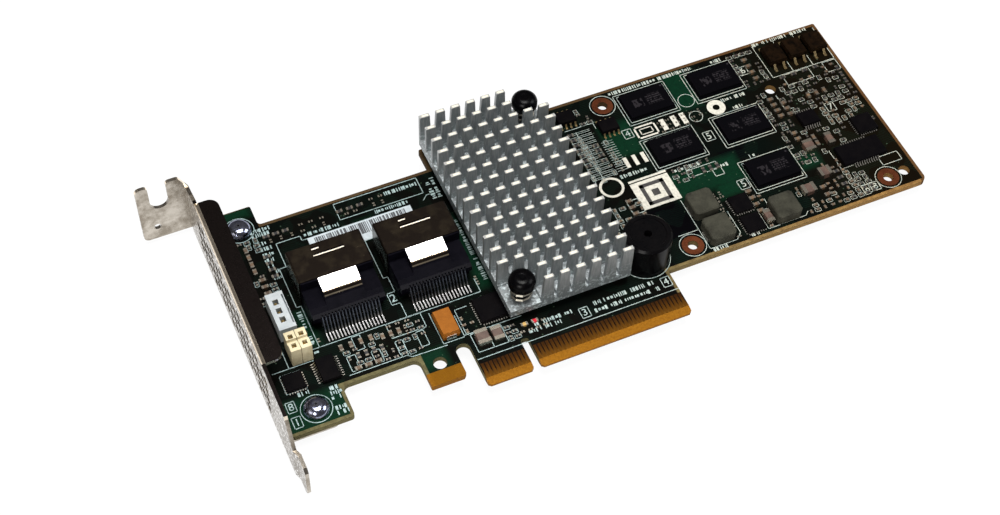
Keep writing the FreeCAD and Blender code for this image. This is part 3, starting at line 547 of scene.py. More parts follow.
# ---- mesh helpers -----------------------------------------------------------------
class Sheet:
    """A mesh in millimetres that grows piece by piece and is finished once."""

    def __init__(self) -> None:
        """Starts an empty mesh."""
        self.mesh = bmesh.new()

    def block(
        self, low: Sequence[float], high: Sequence[float], turn: float = 0.0
    ) -> List[bmesh.types.BMVert]:
        """Adds a block between two corners.

        Args:
            low: Lowest corner.
            high: Highest corner.
            turn: Angle about its upright middle, in degrees.

        Returns:
            Its vertices.
        """
        middle = [(a + b) / 2 for a, b in zip(low, high)]
        size = [b - a for a, b in zip(low, high)]
        place = (
            Matrix.Translation(middle)
            @ Matrix.Rotation(math.radians(turn), 4, "Z")
            @ Matrix.Diagonal((*size, 1.0))
        )
        return bmesh.ops.create_cube(self.mesh, size=1.0, matrix=place)["verts"]

    def softened(self, low: Sequence[float], high: Sequence[float], radius: float) -> None:
        """Adds a block with all its edges bevelled.

        Args:
            low: Lowest corner.
            high: Highest corner.
            radius: Width of the bevel.
        """
        verts = self.block(low, high)
        edges = list({e for v in verts for e in v.link_edges})
        bmesh.ops.bevel(
            self.mesh, geom=edges, offset=radius, segments=2, affect="EDGES", profile=0.5, material=-1
        )

    def strip(self, start: Point, end: Point, width: float, base: float, thick: float) -> None:
        """Adds a flat strip from start to end.

        Args:
            start: First end, at the middle of the strip's width.
            end: Second end.
            width: Width of the strip.
            base: Height of its underside.
            thick: Its thickness.
        """
        a, b = Vector(start), Vector(end)
        middle, run = (a + b) / 2, b - a
        half = (run.length + width) / 2
        turn = math.degrees(math.atan2(run.y, run.x))
        low = (middle.x - half, middle.y - width / 2, base)
        high = (middle.x + half, middle.y + width / 2, base + thick)
        self.block(low, high, turn)

    def outline(self, low: Point, high: Point, width: float, base: float, thick: float) -> None:
        """Adds a rectangle drawn with four strips.

        Args:
            low: Lower left corner, at the middle of the strips.
            high: Upper right corner.
            width: Width of a strip.
            base: Height of its underside.
            thick: Its thickness.
        """
        (x0, y0), (x1, y1) = low, high
        corners = [(x0, y0), (x1, y0), (x1, y1), (x0, y1)]
        for i in range(4):
            self.strip(corners[i], corners[(i + 1) % 4], width, base, thick)

    def path(self, points: Sequence[Point], width: float, base: float, thick: float) -> None:
        """Adds strips through a run of points."""
        for a, b in zip(points, points[1:]):
            self.strip(a, b, width, base, thick)

    def ring(
        self,
        centre: Point,
        inner: float,
        outer: float,
        base: float,
        thick: float,
        sides: int = 40,
    ) -> None:
        """Adds a flat ring by spinning its section.

        Args:
            centre: Its centre.
            inner: Inner radius.
            outer: Outer radius.
            base: Height of its underside.
            thick: Its thickness.
            sides: Steps of the spin.
        """
        section = [(inner, base), (outer, base), (outer, base + thick), (inner, base + thick)]
        verts = [self.mesh.verts.new((centre[0] + r, centre[1], z)) for r, z in section]
        face = self.mesh.faces.new(verts)
        edges = list(face.edges)
        self.mesh.faces.remove(face)
        bmesh.ops.spin(
            self.mesh,
            geom=edges,
            cent=(*centre, 0.0),
            axis=(0, 0, 1),
            angle=2 * math.pi,
            steps=sides,
            use_merge=True,
        )

    def finish(self, name: str, material: bpy.types.Material, slot: str) -> None:
        """Turns the mesh into a piece that rides on the card.

        Args:
            name: The piece's name.
            material: Its material.
            slot: The record's slot that it would belong to; not used.
        """
        bmesh.ops.scale(self.mesh, vec=(MM, MM, MM), verts=self.mesh.verts)
        bmesh.ops.recalc_face_normals(self.mesh, faces=self.mesh.faces)
        data = bpy.data.meshes.new(name)
        self.mesh.to_mesh(data)
        self.mesh.free()
        piece = bpy.data.objects.new(name, data)
        bpy.context.scene.collection.objects.link(piece)
        data.materials.append(material)
        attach(piece, BODY)
        LOG.info("%s: %d faces", name, len(data.polygons))


@dataclass
class Card:
    """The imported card: its nodes and the sizes that everything else is placed by.

    Attributes:
        nodes: CAD objects by name.
        standoffs: Centres of the plated mounting holes, in millimetres.
    """

    nodes: Dict[str, bpy.types.Object]
    standoffs: List[Point]

    def box(self, node: str) -> Box:
        """Lowest and highest corner of a node, in millimetres."""
        low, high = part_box(node)
        return Vector(low) / MM, Vector(high) / MM

    def face(self) -> float:
        """Height of the board's component side, in millimetres."""
        return self.box("circuit_board")[1].z

    def dress(self, names: Iterable[str], material: bpy.types.Material) -> None:
        """Gives CAD nodes a material.

        Args:
            names: The nodes.
            material: Their new material.
        """
        for name in names:
            data = self.nodes[name].data
            data.materials.clear()
            data.materials.append(material)

    def coat(self, *coats: Tuple[str, Iterable[str], "Finish"]) -> None:
        """Gives CAD nodes their plain finishes.

        Args:
            coats: Name of the material, nodes and finish of each.
        """
        for name, nodes, finish in coats:
            self.dress(nodes, finish.make(name))

    def solids(self, node: str) -> List[Box]:
        """Boxes of the separate solids in a node, in millimetres.

        Args:
            node: The node.

        Returns:
            Lowest and highest corner of each, sorted along X, then Y.
        """
        work = bmesh.new()
        work.from_mesh(self.nodes[node].data)
        bmesh.ops.remove_doubles(work, verts=work.verts, dist=1e-6)
        left, boxes = set(work.verts), []
        while left:
            stack, group = [left.pop()], []
            while stack:
                vert = stack.pop()
                group.append(vert.co / MM)
                for edge in vert.link_edges:
                    other = edge.other_vert(vert)
                    if other in left:
                        left.discard(other)
                        stack.append(other)
            low = Vector([min(p[i] for p in group) for i in range(3)])
            high = Vector([max(p[i] for p in group) for i in range(3)])
            boxes.append((low, high))
        work.free()
        return sorted(boxes, key=lambda pair: (round(pair[0].x, 3), round(pair[0].y, 3)))


@dataclass
class Assembly:
    """A group of pieces that is dressed, built upon or both.

    Attributes:
        card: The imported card.
    """

    card: Card

    def dress(self) -> None:
        """Gives CAD nodes their materials, where the group has any."""

    def build(self) -> None:
        """Adds the pieces that CAD leaves out, where the group has any."""


# ---- the board --------------------------------------------------------------------
@dataclass
class Board(Assembly):
    """Laminate, solder mask and plated areas of the board.

    Attributes:
        margin: Bare strip left round the mask.
        tongue: Left end, right end and upper end of the laminate under the contacts.
        bevel: Upper end of the bevelled tips.
        hook: Left end, right end and upper end of the hook tab.
        gap: Left and right end of the edge between foot and hook tab.
        shoulder: Start and height of the lower edge right of the contacts.
        foot: Height of the lower left corner over the board's lowest edge.
        rear: Left end, right end and height of the edge behind the connectors.
        green: Soft rectangles where the mask looks greener, as x0, x1, y0, y1.
        black: The same where the mask is painted near black; the first is a painted shadow of the
            sounder.
    """

    margin: float = 0.8
    tongue: Triple = (-12.6, 39.6, 6.0)
    bevel: float = 1.9
    hook: Triple = (-24.6, -15.5, 7.9)
    gap: Point = (-42.6, -24.2)
    shoulder: Point = (39.15, 12.5)
    foot: float = 4.3
    rear: Triple = (-45.1, -1.4, 62.3)
    green: List[Area] = field(
        default_factory=lambda: [
            (-57.0, -43.5, 4.0, 12.0), (52.5, 69.0, 31.0, 37.0), (65.3, 69.2, 56.5, 66.5),
            (43.5, 49.5, 48.5, 57.0), (-23.5, -19.0, 9.5, 12.5), (62.0, 66.0, 27.5, 30.0),
            (-2.5, -0.8, 26.0, 46.0), (-56.0, -47.0, 66.8, 68.0), (-45.0, -44.0, 26.0, 34.0),
            (-22.6, -20.8, 49.5, 53.0), (85.0, 88.0, 28.0, 30.0),
        ]
    )
    black: List[Area] = field(
        default_factory=lambda: [(40.5, 50.5, 20.5, 29.5), (67.5, 72.5, 36.5, 39.0)]
    )

    def mask(self) -> bpy.types.Material:
        """Material of the whole board: mask, bare margins, laminate edges and plated tips.

        Returns:
            The material.
        """
        g = Graph("solder_mask")
        x, y, z = g.axes()
        low, high = self.card.box("circuit_board")
        flat = abs(g.facing(2)).above(0.98)
        fine = g.noise(2.2, 5.0)
        slow = g.noise(0.09, 4.0)

        green = self._union([g.within(*area, soft=2.2) for area in self.green])
        dark = g.mixed(slow.ramp(0.35, 0.65), (0.0010, 0.0022, 0.0017), (0.0018, 0.0014, 0.0010))
        warm_end = x.ramp(78.0, 96.0) * 0.7
        dark = g.mixed(warm_end, dark, (0.0040, 0.0024, 0.0009))
        # painted shadow: the first black area is the sounder's shadow, painted near black on the mask
        black = self._union([g.within(*area, soft=1.2) for area in self.black])
        dark = g.mixed(black, dark, (0.0006, 0.0005, 0.0010))
        leaf = g.mixed(fine.ramp(0.3, 0.7), (0.0022, 0.0205, 0.0088), (0.0015, 0.0115, 0.0056))
        mask = g.mixed(green * 0.9, dark, leaf)
        mask = g.mixed(self._tracks(g) * 0.2, mask, (0.004, 0.018, 0.011))
        vias = g.cells(0.62).below(0.11) * g.noise(0.16, 1.0).above(0.5)
        mask = g.mixed(vias * 0.5, mask, (0.05, 0.08, 0.05))

        bare = self._bare(g, low, high)
        fibre = g.noise(1.4, 5.0, g.stretched(0.6, 0.6, 6.0))
        warm = x.ramp(20.0, 100.0)
        edge_light = g.mixed(warm, (0.115, 0.105, 0.05), (0.22, 0.125, 0.04))
        edge_dark = g.mixed(warm, (0.055, 0.045, 0.022), (0.11, 0.055, 0.018))
        laminate = g.mixed(fibre.ramp(0.3, 0.7), edge_light, edge_dark)
        far = (y.above(61.0) + x.above(109.0)).clamped()
        laminate = g.mixed(far * 0.75, laminate, (0.035, 0.014, 0.007))

        tongue = x.between(*self.tongue[:2]) * y.below(self.tongue[2])
        hook = x.between(*self.hook[:2]) * y.below(self.hook[2])
        plated = (tongue * y.below(self.bevel) + hook).clamped()
        amber = g.mixed(fine.ramp(0.3, 0.7), (0.185, 0.078, 0.006), (0.130, 0.050, 0.004))
        resist = g.mixed(y.ramp(2.1, 3.6), (0.10, 0.042, 0.005), (0.006, 0.003, 0.0015))

        colour = g.mixed(flat * (1.0 - bare), laminate, mask)
        colour = g.mixed(tongue * flat, colour, resist)
        colour = g.mixed(plated, colour, amber)
        return g.surface(
            Base_Color=colour,
            Roughness=(0.62 - flat * (1.0 - bare) * 0.3 + fine * 0.12 - plated * 0.1).clamped(),
            Metallic=plated * 0.3,
            Specular_IOR_Level=0.025,
            Normal=g.bump(self._tracks(g) + fine * 0.2, 0.25, 0.02),
        )

    @staticmethod
    def _union(masks: Sequence[Val]) -> Val:
        """The largest of several masks.

        Args:
            masks: The masks, at least one.

        Returns:
            The mask.
        """
        total = masks[0]
        for each in masks[1:]:
            total = total.most(each)
        return total

    @staticmethod
    def _tracks(g: Graph) -> Val:
        """Mask of fine copper tracks under the solder mask.

        Args:
            g: Graph that takes the nodes.

        Returns:
            The mask.
        """
        x, y, _ = g.axes()
        bend = g.noise(0.12, 1.0).above(0.5)
        level = (y * 1.9).fract().below(0.42)
        slanted = ((x + y) * 1.35).fract().below(0.4)
        block = g.noise(0.2, 0.0).above(0.52)
        return (level * bend + slanted * (1.0 - bend)) * block

    def _bare(self, g: Graph, low: Vector, high: Vector) -> Val:
        """Mask of the strip along the edges that the solder mask leaves bare.

        Args:
            g: Graph that takes the nodes.
            low: The board's lowest corner.
            high: The board's highest corner.

        Returns:
            The mask.
        """
        x, y, _ = g.axes()
        m = self.margin
        right = x.above(high.x - m)
        top = y.above(high.y - m)
        ends = x.above(self.shoulder[0] - m) + x.between(self.gap[0] - m, self.gap[1] + m)
        lower = y.below(self.shoulder[1] + m) * ends.clamped()
        tab = y.below(low.y + self.foot + m) * x.below(self.gap[0])
        rear = y.above(self.rear[2] - m) * x.between(self.rear[0], self.rear[1] + m)
        return (right + top + lower + tab + rear).clamped()

    def dress(self) -> None:
        """Gives the board and its contacts their materials."""
        self.card.dress(["circuit_board"], self.mask())
        self.card.dress(["edge_contacts_front", "edge_contacts_back"], self.contact_gold())

    @staticmethod
    def contact_gold() -> bpy.types.Material:
        """Gold of the contacts, darker towards the board.

        Returns:
            The material.
        """
        g = Graph("contact_gold")
        _, y, _ = g.axes()
        wipe = g.noise(3.0, 4.0, g.stretched(1.0, 0.08, 1.0))
        pale = g.mixed(wipe.ramp(0.3, 0.7), (0.100, 0.039, 0.0034), (0.062, 0.024, 0.0021))
        deep = g.mixed(wipe.ramp(0.3, 0.7), (0.038, 0.0135, 0.002), (0.021, 0.0075, 0.0015))
        return g.surface(
            Base_Color=g.mixed(y.ramp(2.2, 5.2), pale, deep),
            Metallic=0.4,
            Roughness=(wipe * 0.2 + 0.32).clamped(),
            Specular_IOR_Level=0.04,
            Normal=g.bump(wipe, 0.2, 0.01),
        )


@dataclass
class Print(Assembly):
    """Everything printed on the component side in pale ink.

    Attributes:
        line: Width of a drawn line.
        thick: Thickness of the ink.
        height: Height of a row of small marks.
        boxes: Corners of each drawn frame.
        paths: Corners of each drawn line.
        rows: Start x, start y, length and angle of each row of small marks.
        combs: Left end, right end, first place, last place and pitch of fine lines.
        plain_rings: Centres and radii of the rings that go round no hole or screw.
    """

    line: float = 0.17
    thick: float = 0.03
    height: float = 1.1
    boxes: List[Area] = field(
        default_factory=lambda: [
            # double outlines of the memory chips
            (50.5, 55.7, 64.7, 66.1), (51.3, 56.5, 64.1, 65.5),
            (69.6, 55.7, 83.6, 66.1), (70.4, 56.5, 83.0, 65.5),
            (50.3, 40.1, 64.7, 50.4), (51.1, 40.9, 64.1, 49.8),
            (69.6, 40.1, 83.6, 50.4), (70.4, 40.9, 83.0, 49.8),
            (69.6, 24.6, 83.6, 34.9), (70.4, 25.4, 83.0, 34.3),
            # label field near the top edge and boxed numbers
            (-26.6, 56.1, -5.2, 61.1), (-56.0, 10.2, -54.0, 13.0), (-56.0, 6.0, -54.0, 8.9),
            (47.6, 52.3, 50.0, 55.1), (66.0, 43.9, 68.5, 46.8), (66.7, 27.1, 69.2, 30.0),
            (84.2, 59.9, 86.6, 62.6), (99.1, 40.7, 101.4, 43.5), (94.2, 14.4, 96.3, 16.9),
            (96.5, 14.4, 98.7, 16.9), (-24.3, 28.4, -22.3, 31.8), (14.9, 8.0, 17.1, 10.8),
            (36.2, 8.5, 38.4, 11.2),
            # frames of the small parts
            (-27.7, 19.9, -19.2, 24.0), (-39.1, 15.0, -37.0, 19.2), (-33.4, 15.0, -31.4, 18.5),
            (-27.5, 15.0, -25.7, 18.8), (-22.2, 15.2, -20.3, 19.4), (-36.2, 19.9, -34.2, 23.8),
            (-10.9, 8.8, -7.0, 14.0), (-54.8, 15.1, -49.9, 20.1), (56.7, 35.4, 64.9, 37.6),
            (62.9, 33.3, 65.3, 35.6), (67.1, 14.2, 70.3, 19.8), (39.0, 30.4, 42.0, 34.6),
            (93.9, 52.5, 101.5, 55.9), (105.6, 52.5, 109.4, 55.9), (102.8, 20.5, 108.2, 23.2),
        ]
    )
    paths: List[List[Point]] = field(
        default_factory=lambda: [
            [(-43.1, 48.1), (-43.1, 55.3), (-37.1, 55.3), (-37.1, 53.9), (-10.4, 53.9)],
            [(-43.1, 48.1), (-44.8, 48.1), (-44.8, 36.3), (-43.7, 36.3), (-43.7, 24.1)],
            [(-52.0, 27.4), (-52.0, 21.3)], [(-56.0, 21.3), (-45.7, 21.3)],
            [(-45.7, 24.1), (-3.9, 24.1), (-3.9, 28.0)],
            [(-19.0, 48.1), (-23.4, 48.1), (-23.4, 36.3), (-22.3, 36.3), (-22.3, 24.1)],
            [(-17.4, 23.0), (-17.4, 14.0), (-12.2, 14.0), (-12.2, 20.2)],
            [(-12.2, 14.3), (2.0, 14.3)], [(-11.9, 7.1), (39.0, 7.1)],
            [(-40.0, 14.4), (-26.2, 14.4), (-25.2, 13.6), (-16.8, 13.4)],
            [(-7.0, 8.8), (-3.4, 8.8), (-3.4, 14.0)], [(-11.6, 14.3), (-11.6, 21.6), (-8.6, 21.6)],
            [(91.5, 67.6), (91.5, 56.2), (109.5, 56.2), (109.5, 67.6)],
            [(97.5, 67.4), (97.5, 56.2)], [(103.3, 67.4), (103.3, 56.2)],
            [(51.4, 30.0), (51.4, 14.3), (58.6, 14.3), (60.3, 15.9), (60.3, 22.6)],
            [(70.4, 22.6), (70.4, 14.3), (77.4, 14.3), (78.4, 15.2)],
            [(89.2, 50.6), (89.2, 45.4), (91.4, 45.4)], [(92.6, 29.6), (92.6, 23.4), (96.0, 23.4)],
            [(46.0, 20.5), (51.4, 20.5)], [(34.6, 60.3), (42.2, 60.3), (42.2, 58.4)],
            [(34.7, 42.8), (34.7, 59.0)], [(37.0, 42.8), (37.0, 59.0)],
            [(-6.0, 54.0), (-4.8, 55.2), (-4.0, 55.2)],
        ]
    )
    rows: List[Area] = field(
        default_factory=lambda: [
            (50.2, 67.2, 24.0, 0.0), (75.6, 54.4, 7.6, 0.0), (-35.9, 55.1, 8.6, 0.0),
            (-18.0, 55.1, 8.4, 0.0), (-14.0, 59.4, 8.4, 0.0), (-1.3, 27.0, 18.6, 90.0),
            (4.0, 10.9, 9.8, 0.0), (19.0, 10.9, 15.6, 0.0), (18.6, 8.9, 16.6, 0.0),
            (2.0, 9.4, 8.0, 0.0), (40.9, 42.0, 7.4, 0.0), (-48.0, 60.6, 5.0, 0.0),
            (-3.2, 53.6, 6.4, 90.0), (-1.8, 53.6, 6.4, 90.0), (54.4, 38.6, 7.2, 0.0),
            (65.6, 35.8, 2.4, 0.0), (77.3, 51.2, 2.4, 0.0), (73.1, 35.7, 2.4, 0.0),
            (79.2, 67.0, 3.0, 0.0), (91.8, 68.0, 4.4, 0.0), (97.2, 68.0, 4.4, 0.0),
            (103.0, 68.0, 4.4, 0.0), (62.0, 14.2, 2.6, 0.0), (52.2, 13.7, 3.6, 0.0),
            (-47.5, 59.3, 4.6, 0.0), (-46.9, 56.6, 2.4, 0.0), (-46.8, 54.9, 2.6, 0.0),
            (-46.9, 53.1, 2.2, 0.0), (-47.0, 51.4, 2.2, 0.0), (-46.9, 49.6, 1.9, 0.0),
            (-46.8, 47.8, 1.8, 0.0), (-46.7, 45.9, 1.6, 0.0), (-44.8, 30.4, 5.0, 90.0),
            (-44.8, 22.2, 5.4, 90.0), (-53.2, 14.0, 3.4, 0.0), (-45.3, 12.9, 2.1, 0.0),
            (-45.5, 11.6, 2.2, 0.0), (-45.6, 10.3, 2.2, 0.0), (-45.7, 7.6, 2.4, 0.0),
            (-45.8, 6.3, 2.4, 0.0),
        ]
    )
    combs: List[Comb] = field(
        default_factory=lambda: [
            (34.4, 40.6, 43.4, 58.4, 1.25), (34.4, 40.6, 43.9, 58.9, 1.25),
            (41.3, 44.4, 43.9, 54.2, 0.74),
        ]
    )
    plain_rings: Tuple[Tuple[Point, float], ...] = (
        ((67.3, 57.9), 2.1), ((67.2, 52.3), 1.7), ((35.7, 18.2), 6.2),
    )
    standoff_ring: float = 3.25
    screw_ring: float = 3.6

    def base(self) -> float:
        """Height at which the ink starts, just inside the board's face."""
        return self.card.face() - SUNK

    def marks(self, sheet: Sheet, x: float, y: float, length: float, angle: float) -> None:
        """Adds a row of small upright bars and dots, like worn print too small to read.

        Args:
            sheet: Mesh that takes them.
            x: Start of the row.
            y: Middle of the row's height.
            length: Length of the row.
            angle: Direction of the row, in degrees.
        """
        rng = random.Random(int(x * 71 + y * 37))
        c, s = math.cos(math.radians(angle)), math.sin(math.radians(angle))
        run = 0.0
        while run < length:
            wide = rng.choice((0.22, 0.3, 0.55))
            tall = self.height * rng.choice((1.0, 1.0, 0.62))
            if rng.random() > 0.14:
                mx, my = x + run * c, y + run * s
                low = (mx - wide / 2, my - tall / 2, self.base())
                high = (mx + wide / 2, my + tall / 2, self.base() + self.thick)
                sheet.block(low, high, angle)
            run += wide + rng.choice((0.22, 0.3, 0.36))

    def build(self) -> None:
        """Builds the printed lines, rings, rows of marks and filled fields."""
        sheet = Sheet()
        base, w, t = self.base(), self.line, self.thick
        for x0, y0, x1, y1 in self.boxes:
            sheet.outline((x0, y0), (x1, y1), w, base, t)
        for points in self.paths:
            sheet.path(points, w, base, t)
        for x, y, length, angle in self.rows:
            self.marks(sheet, x, y, length, angle)
        for left, right, first, last, pitch in self.combs:
            for i in range(int((last - first) / pitch) + 1):
                y = first + i * pitch
                sheet.block((left, y - w * 0.3, base), (right, y + w * 0.3, base + t))
        for centre, radius in self.rings():
            sheet.ring(centre, radius - w / 2, radius + w / 2, base, t)
        sheet.finish("printed_lines", InkFinish().make("pale_ink"), "circuit_board")
        self._fields()

    def rings(self) -> List[Tuple[Point, float]]:
        """Centres and radii of the printed rings.

        Returns:
            A centre and a radius for each.
        """
        made = [(centre, self.standoff_ring) for centre in self.card.standoffs]
        for low, high in self.card.solids("bracket_screws"):
            made.append((((low.x + high.x) / 2, (low.y + high.y) / 2), self.screw_ring))
        return made + list(self.plain_rings)

    def _fields(self) -> None:
        """Builds the solid white fields and their plain dark signs."""
        white = Sheet()
        base, t = self.base(), self.thick
        for y0, y1 in ((30.6, 39.0), (39.35, 39.95)):
            white.block((42.0, y0, base), (52.2, y1, base + t))
        white.ring((73.3, 53.0), 0.9, 2.4, base, t, 40)
        white.ring((37.7, 40.0), 2.45, 3.1, base, t, 48)
        white.outline((50.9, 51.2), (56.3, 54.7), 0.45, base, t)
        white.outline((52.0, 52.1), (55.2, 53.8), 0.25, base, t)
        bars = (((57.8, 60.9, 63.4), 1.3, 51.2, 54.8), ((44.0, 46.4, 48.8), 1.0, 43.9, 47.2))
        for places, width, y0, y1 in bars:
            for x in places:
                white.block((x, y0, base), (x + width, y1, base + t))
        fresh = (0.46, 0.44, 0.38)
        ink = InkFinish(fresh, (0.31, 0.30, 0.26), fresh)
        white.finish("white_fields", ink.make("white_ink"), "circuit_board")
        dark = Sheet()
        up = base + t - SUNK
        dark.outline((44.4, 31.9), (49.9, 37.5), 1.05, up, 0.02)
        dark.block((46.2, 33.7, up), (48.1, 35.7, up + 0.02))
        fresh = (0.012, 0.010, 0.010)
        shade = InkFinish(fresh, (0.03, 0.026, 0.024), fresh)
        dark.finish("dark_signs", shade.make("dark_ink"), "circuit_board")


@dataclass
class HolePads(Assembly):
    """Plated rings round the standoff holes.

    Attributes:
        outer: Outer radius.
        inner: Inner radius, just over that of the hole.
        thick: Thickness of a ring.
        sunk: How much of it is inside the board.
    """

    outer: float = 2.7
    inner: float = 1.27
    thick: float = 0.05
    sunk: float = 0.01

    def build(self) -> None:
        """Builds a ring on each face at every standoff hole."""
        low, high = self.card.box("circuit_board")
        sheet = Sheet()
        for centre in self.card.standoffs:
            for base in (high.z - self.sunk, low.z + self.sunk - self.thick):
                sheet.ring(centre, self.inner, self.outer, base, self.thick)
        copper = MetalFinish((0.14, 0.042, 0.018), (0.06, 0.018, 0.008), 0.5, 0.15)
        sheet.finish("hole_pads", copper.make("pad_copper"), "edge_contacts_front")


# ---- bracket and screws -----------------------------------------------------------
@dataclass
class Bracket(Assembly):
    """Slot bracket and the two screws that hold it.

    Attributes:
        fold_base: Height at which the fold of the plate starts.
        flange: Length of the flange along Y, past the end of the lip.
        recess: Half length and half width of a bar of the dark cross painted as the shadow in the
            screws' cross recess.
    """

    fold_base: float = 13.4
    flange: float = 6.5
    recess: Point = (0.85, 0.2)

    def sheet_steel(self) -> bpy.types.Material:
        """Nickelled steel: smudged flange, painted glints on the punched strip, a painted highlight
        along the fold and a polished lip painted dark as a reflection of dark surroundings.

        Returns:
            The material.
        """
        g = Graph("bracket_nickel")
        high = self.card.box("bracket")[1]
        _, y, z = g.axes()
        up = g.facing(2)
        lip = up.above(0.97) * z.above(self.fold_base) * y.below(high.y - self.flange)
        outer = g.facing(0).below(-0.8)
        grain = g.noise(3.4, 3.0)
        stain = g.noise(0.32, 4.0)
        # painted highlights: white glints sprinkled on the punched strip of the outer face
        painted_strip_glints = g.cells(1.25).below(0.36) * outer
        # painted highlight: a bright tan line along the rounded fold between plate and lip
        fold = up.between(0.2, 0.97) * z.above(self.fold_base)
        plate = g.mixed(stain.ramp(0.36, 0.62), (0.60, 0.55, 0.48), (0.30, 0.26, 0.21))
        worn = g.mixed(grain.ramp(0.4, 0.6), (0.21, 0.20, 0.195), (0.43, 0.415, 0.40))
        plate = g.mixed(outer * 0.55, plate, worn)
        plate = g.mixed(painted_strip_glints, plate, (0.96, 0.95, 0.93))
        plate = g.mixed(fold, plate, (0.98, 0.86, 0.70))
        # painted reflection: the polished lip is painted dark where it mirrors dark surroundings
        lip_dark_reflection = g.mixed(stain.ramp(0.35, 0.65), (0.044, 0.034, 0.032), (0.021, 0.0165, 0.0155))
        return g.surface(
            Base_Color=g.mixed(lip, plate, lip_dark_reflection),
            Metallic=1.0,
            Roughness=(grain * 0.12 + stain * 0.22 + 0.08 + outer * 0.12).clamped(),
            Normal=g.bump(grain * 0.5 + stain, 0.3, 0.04),
        )

    def dress(self) -> None:
        """Gives the bracket and its screws their materials."""
        self.card.dress(["bracket"], self.sheet_steel())
        screw = MetalFinish((0.40, 0.43, 0.56), (0.17, 0.18, 0.28), 0.16, 0.06, Grain.NONE, 2.0)
        self.card.dress(["bracket_screws"], screw.make("screw_nickel"))

    def build(self) -> None:
        """Adds a dark cross on each screw head, a painted shadow standing for its cross recess."""
        sheet = Sheet()
        for low, high in self.card.solids("bracket_screws"):
            cx, cy = (low.x + high.x) / 2, (low.y + high.y) / 2
            along, across = self.recess
            for turn in (20.0, 110.0):
                start = (cx - along, cy - across, high.z - 0.05)
                end = (cx + along, cy + across, high.z + 0.012)
                sheet.block(start, end, turn)
        # painted shadow: a dark cross set on each head stands for the shade in its recess
        shade = MetalFinish((0.05, 0.05, 0.06), (0.02, 0.02, 0.02), 0.5)
        sheet.finish("screw_recess_shadows", shade.make("recess_shadow"), "bracket_screws")


# ---- heatsink and push pins -------------------------------------------------------
@dataclass
class Cooler(Assembly):
    """Heatsink, controller package, push pins and their springs.

    Attributes:
        pin_rows: Rows of pins along Y.
        pin_depth: Size of a pin along Y.
        fins: Fins along X.
        fin_root: Width of a fin at its foot.
        base: Thickness of the plate that the fins stand on.
    """

    pin_rows: int = 15
    pin_depth: float = 0.95
    fins: int = 8
    fin_root: float = 2.9
    base: float = 2.0

    def aluminium(self) -> bpy.types.Material:
        """Sawn tops with a painted highlight and painted shade round their edges, streaked flanks, and
        painted shade and painted glints low in the valleys of the heatsink.

        Returns:
            The material.
        """
        g = Graph("heatsink_aluminium")
        low, high = self.card.box("heatsink")
        x, y, z = g.axes()
        flat = g.facing(2).above(0.9)
        top = z.above(high.z - 0.05) * flat
        streak = g.noise(2.4, 4.0, g.stretched(1.0, 1.0, 0.12))
        saw = g.noise(3.2, 3.0, g.stretched(0.25, 2.4, 1.0))
        foot = low.z + self.base
        depth = z.ramp(foot, high.z)
        step = (high.y - low.y - self.pin_depth) / (self.pin_rows - 1)
        across = ((y - low.y) / step).fract() * step
        pitch = (high.x - low.x - self.fin_root) / (self.fins - 1)
        along = ((x - low.x) / pitch).fract() * pitch
        # painted shade round the edges of each top; only the middle keeps the highlighted crown colour
        lit_crown_middle = 1.0 - abs(across - self.pin_depth / 2).ramp(0.16, 0.38)
        lit_crown_middle = lit_crown_middle * (1.0 - abs(along - self.fin_root / 2).ramp(0.62, 0.92))
        flank = g.mixed(streak.ramp(0.3, 0.7), (0.37, 0.38, 0.38), (0.225, 0.24, 0.245))
        # painted shade: flanks darken towards the valleys between the pins
        flank = g.mixed((1.0 - depth) * 0.55, flank, (0.15, 0.17, 0.18))
        # painted highlights: bright glints low in the valleys
        painted_valley_glint = g.noise(1.5, 2.0).ramp(0.52, 0.62) * (1.0 - z.ramp(foot, foot + 4.0))
        flank = g.mixed(painted_valley_glint * 0.7, flank, (0.66, 0.74, 0.76))
        # sawn tops, brightened by a painted highlight
        sawn_crown_and_highlight = g.mixed(saw.ramp(0.3, 0.75), (0.74, 0.69, 0.55), (0.46, 0.43, 0.34))
        sawn_crown_and_highlight = g.mixed(lit_crown_middle, (0.26, 0.26, 0.25), sawn_crown_and_highlight)
        return g.surface(
            Base_Color=g.mixed(top, flank, sawn_crown_and_highlight),
            Metallic=0.8 - top * 0.6,
            Roughness=(0.36 + streak * 0.22 + top * 0.2).clamped(),
            Normal=g.bump(streak * 0.6 + saw * 0.4, 0.3, 0.03),
        )

    def dress(self) -> None:
        """Gives the cooler's nodes their materials."""
        self.card.dress(["heatsink"], self.aluminium())
        self.card.coat(
            ("push_pin_nylon", ["push_pins"],
             MouldedFinish((0.0005, 0.0005, 0.0008), (0.0012, 0.0010, 0.0012), 0.28, 3.0, 0.004, 0.06)),
            ("spring_wire", ["push_pin_springs"],
             MetalFinish((0.34, 0.32, 0.27), (0.20, 0.19, 0.16), 0.5, 0.08)),
            ("lid_nickel", ["controller_lid"],
             MetalFinish((0.5, 0.48, 0.45), (0.36, 0.34, 0.32), 0.35, 0.1)),
            ("package_laminate", ["controller_substrate"],
             MouldedFinish((0.02, 0.09, 0.04), (0.03, 0.12, 0.05), 0.4)),
            ("soft_pad", ["thermal_pad"],
             MouldedFinish((0.22, 0.24, 0.27), (0.28, 0.30, 0.33), 0.7)),
        )


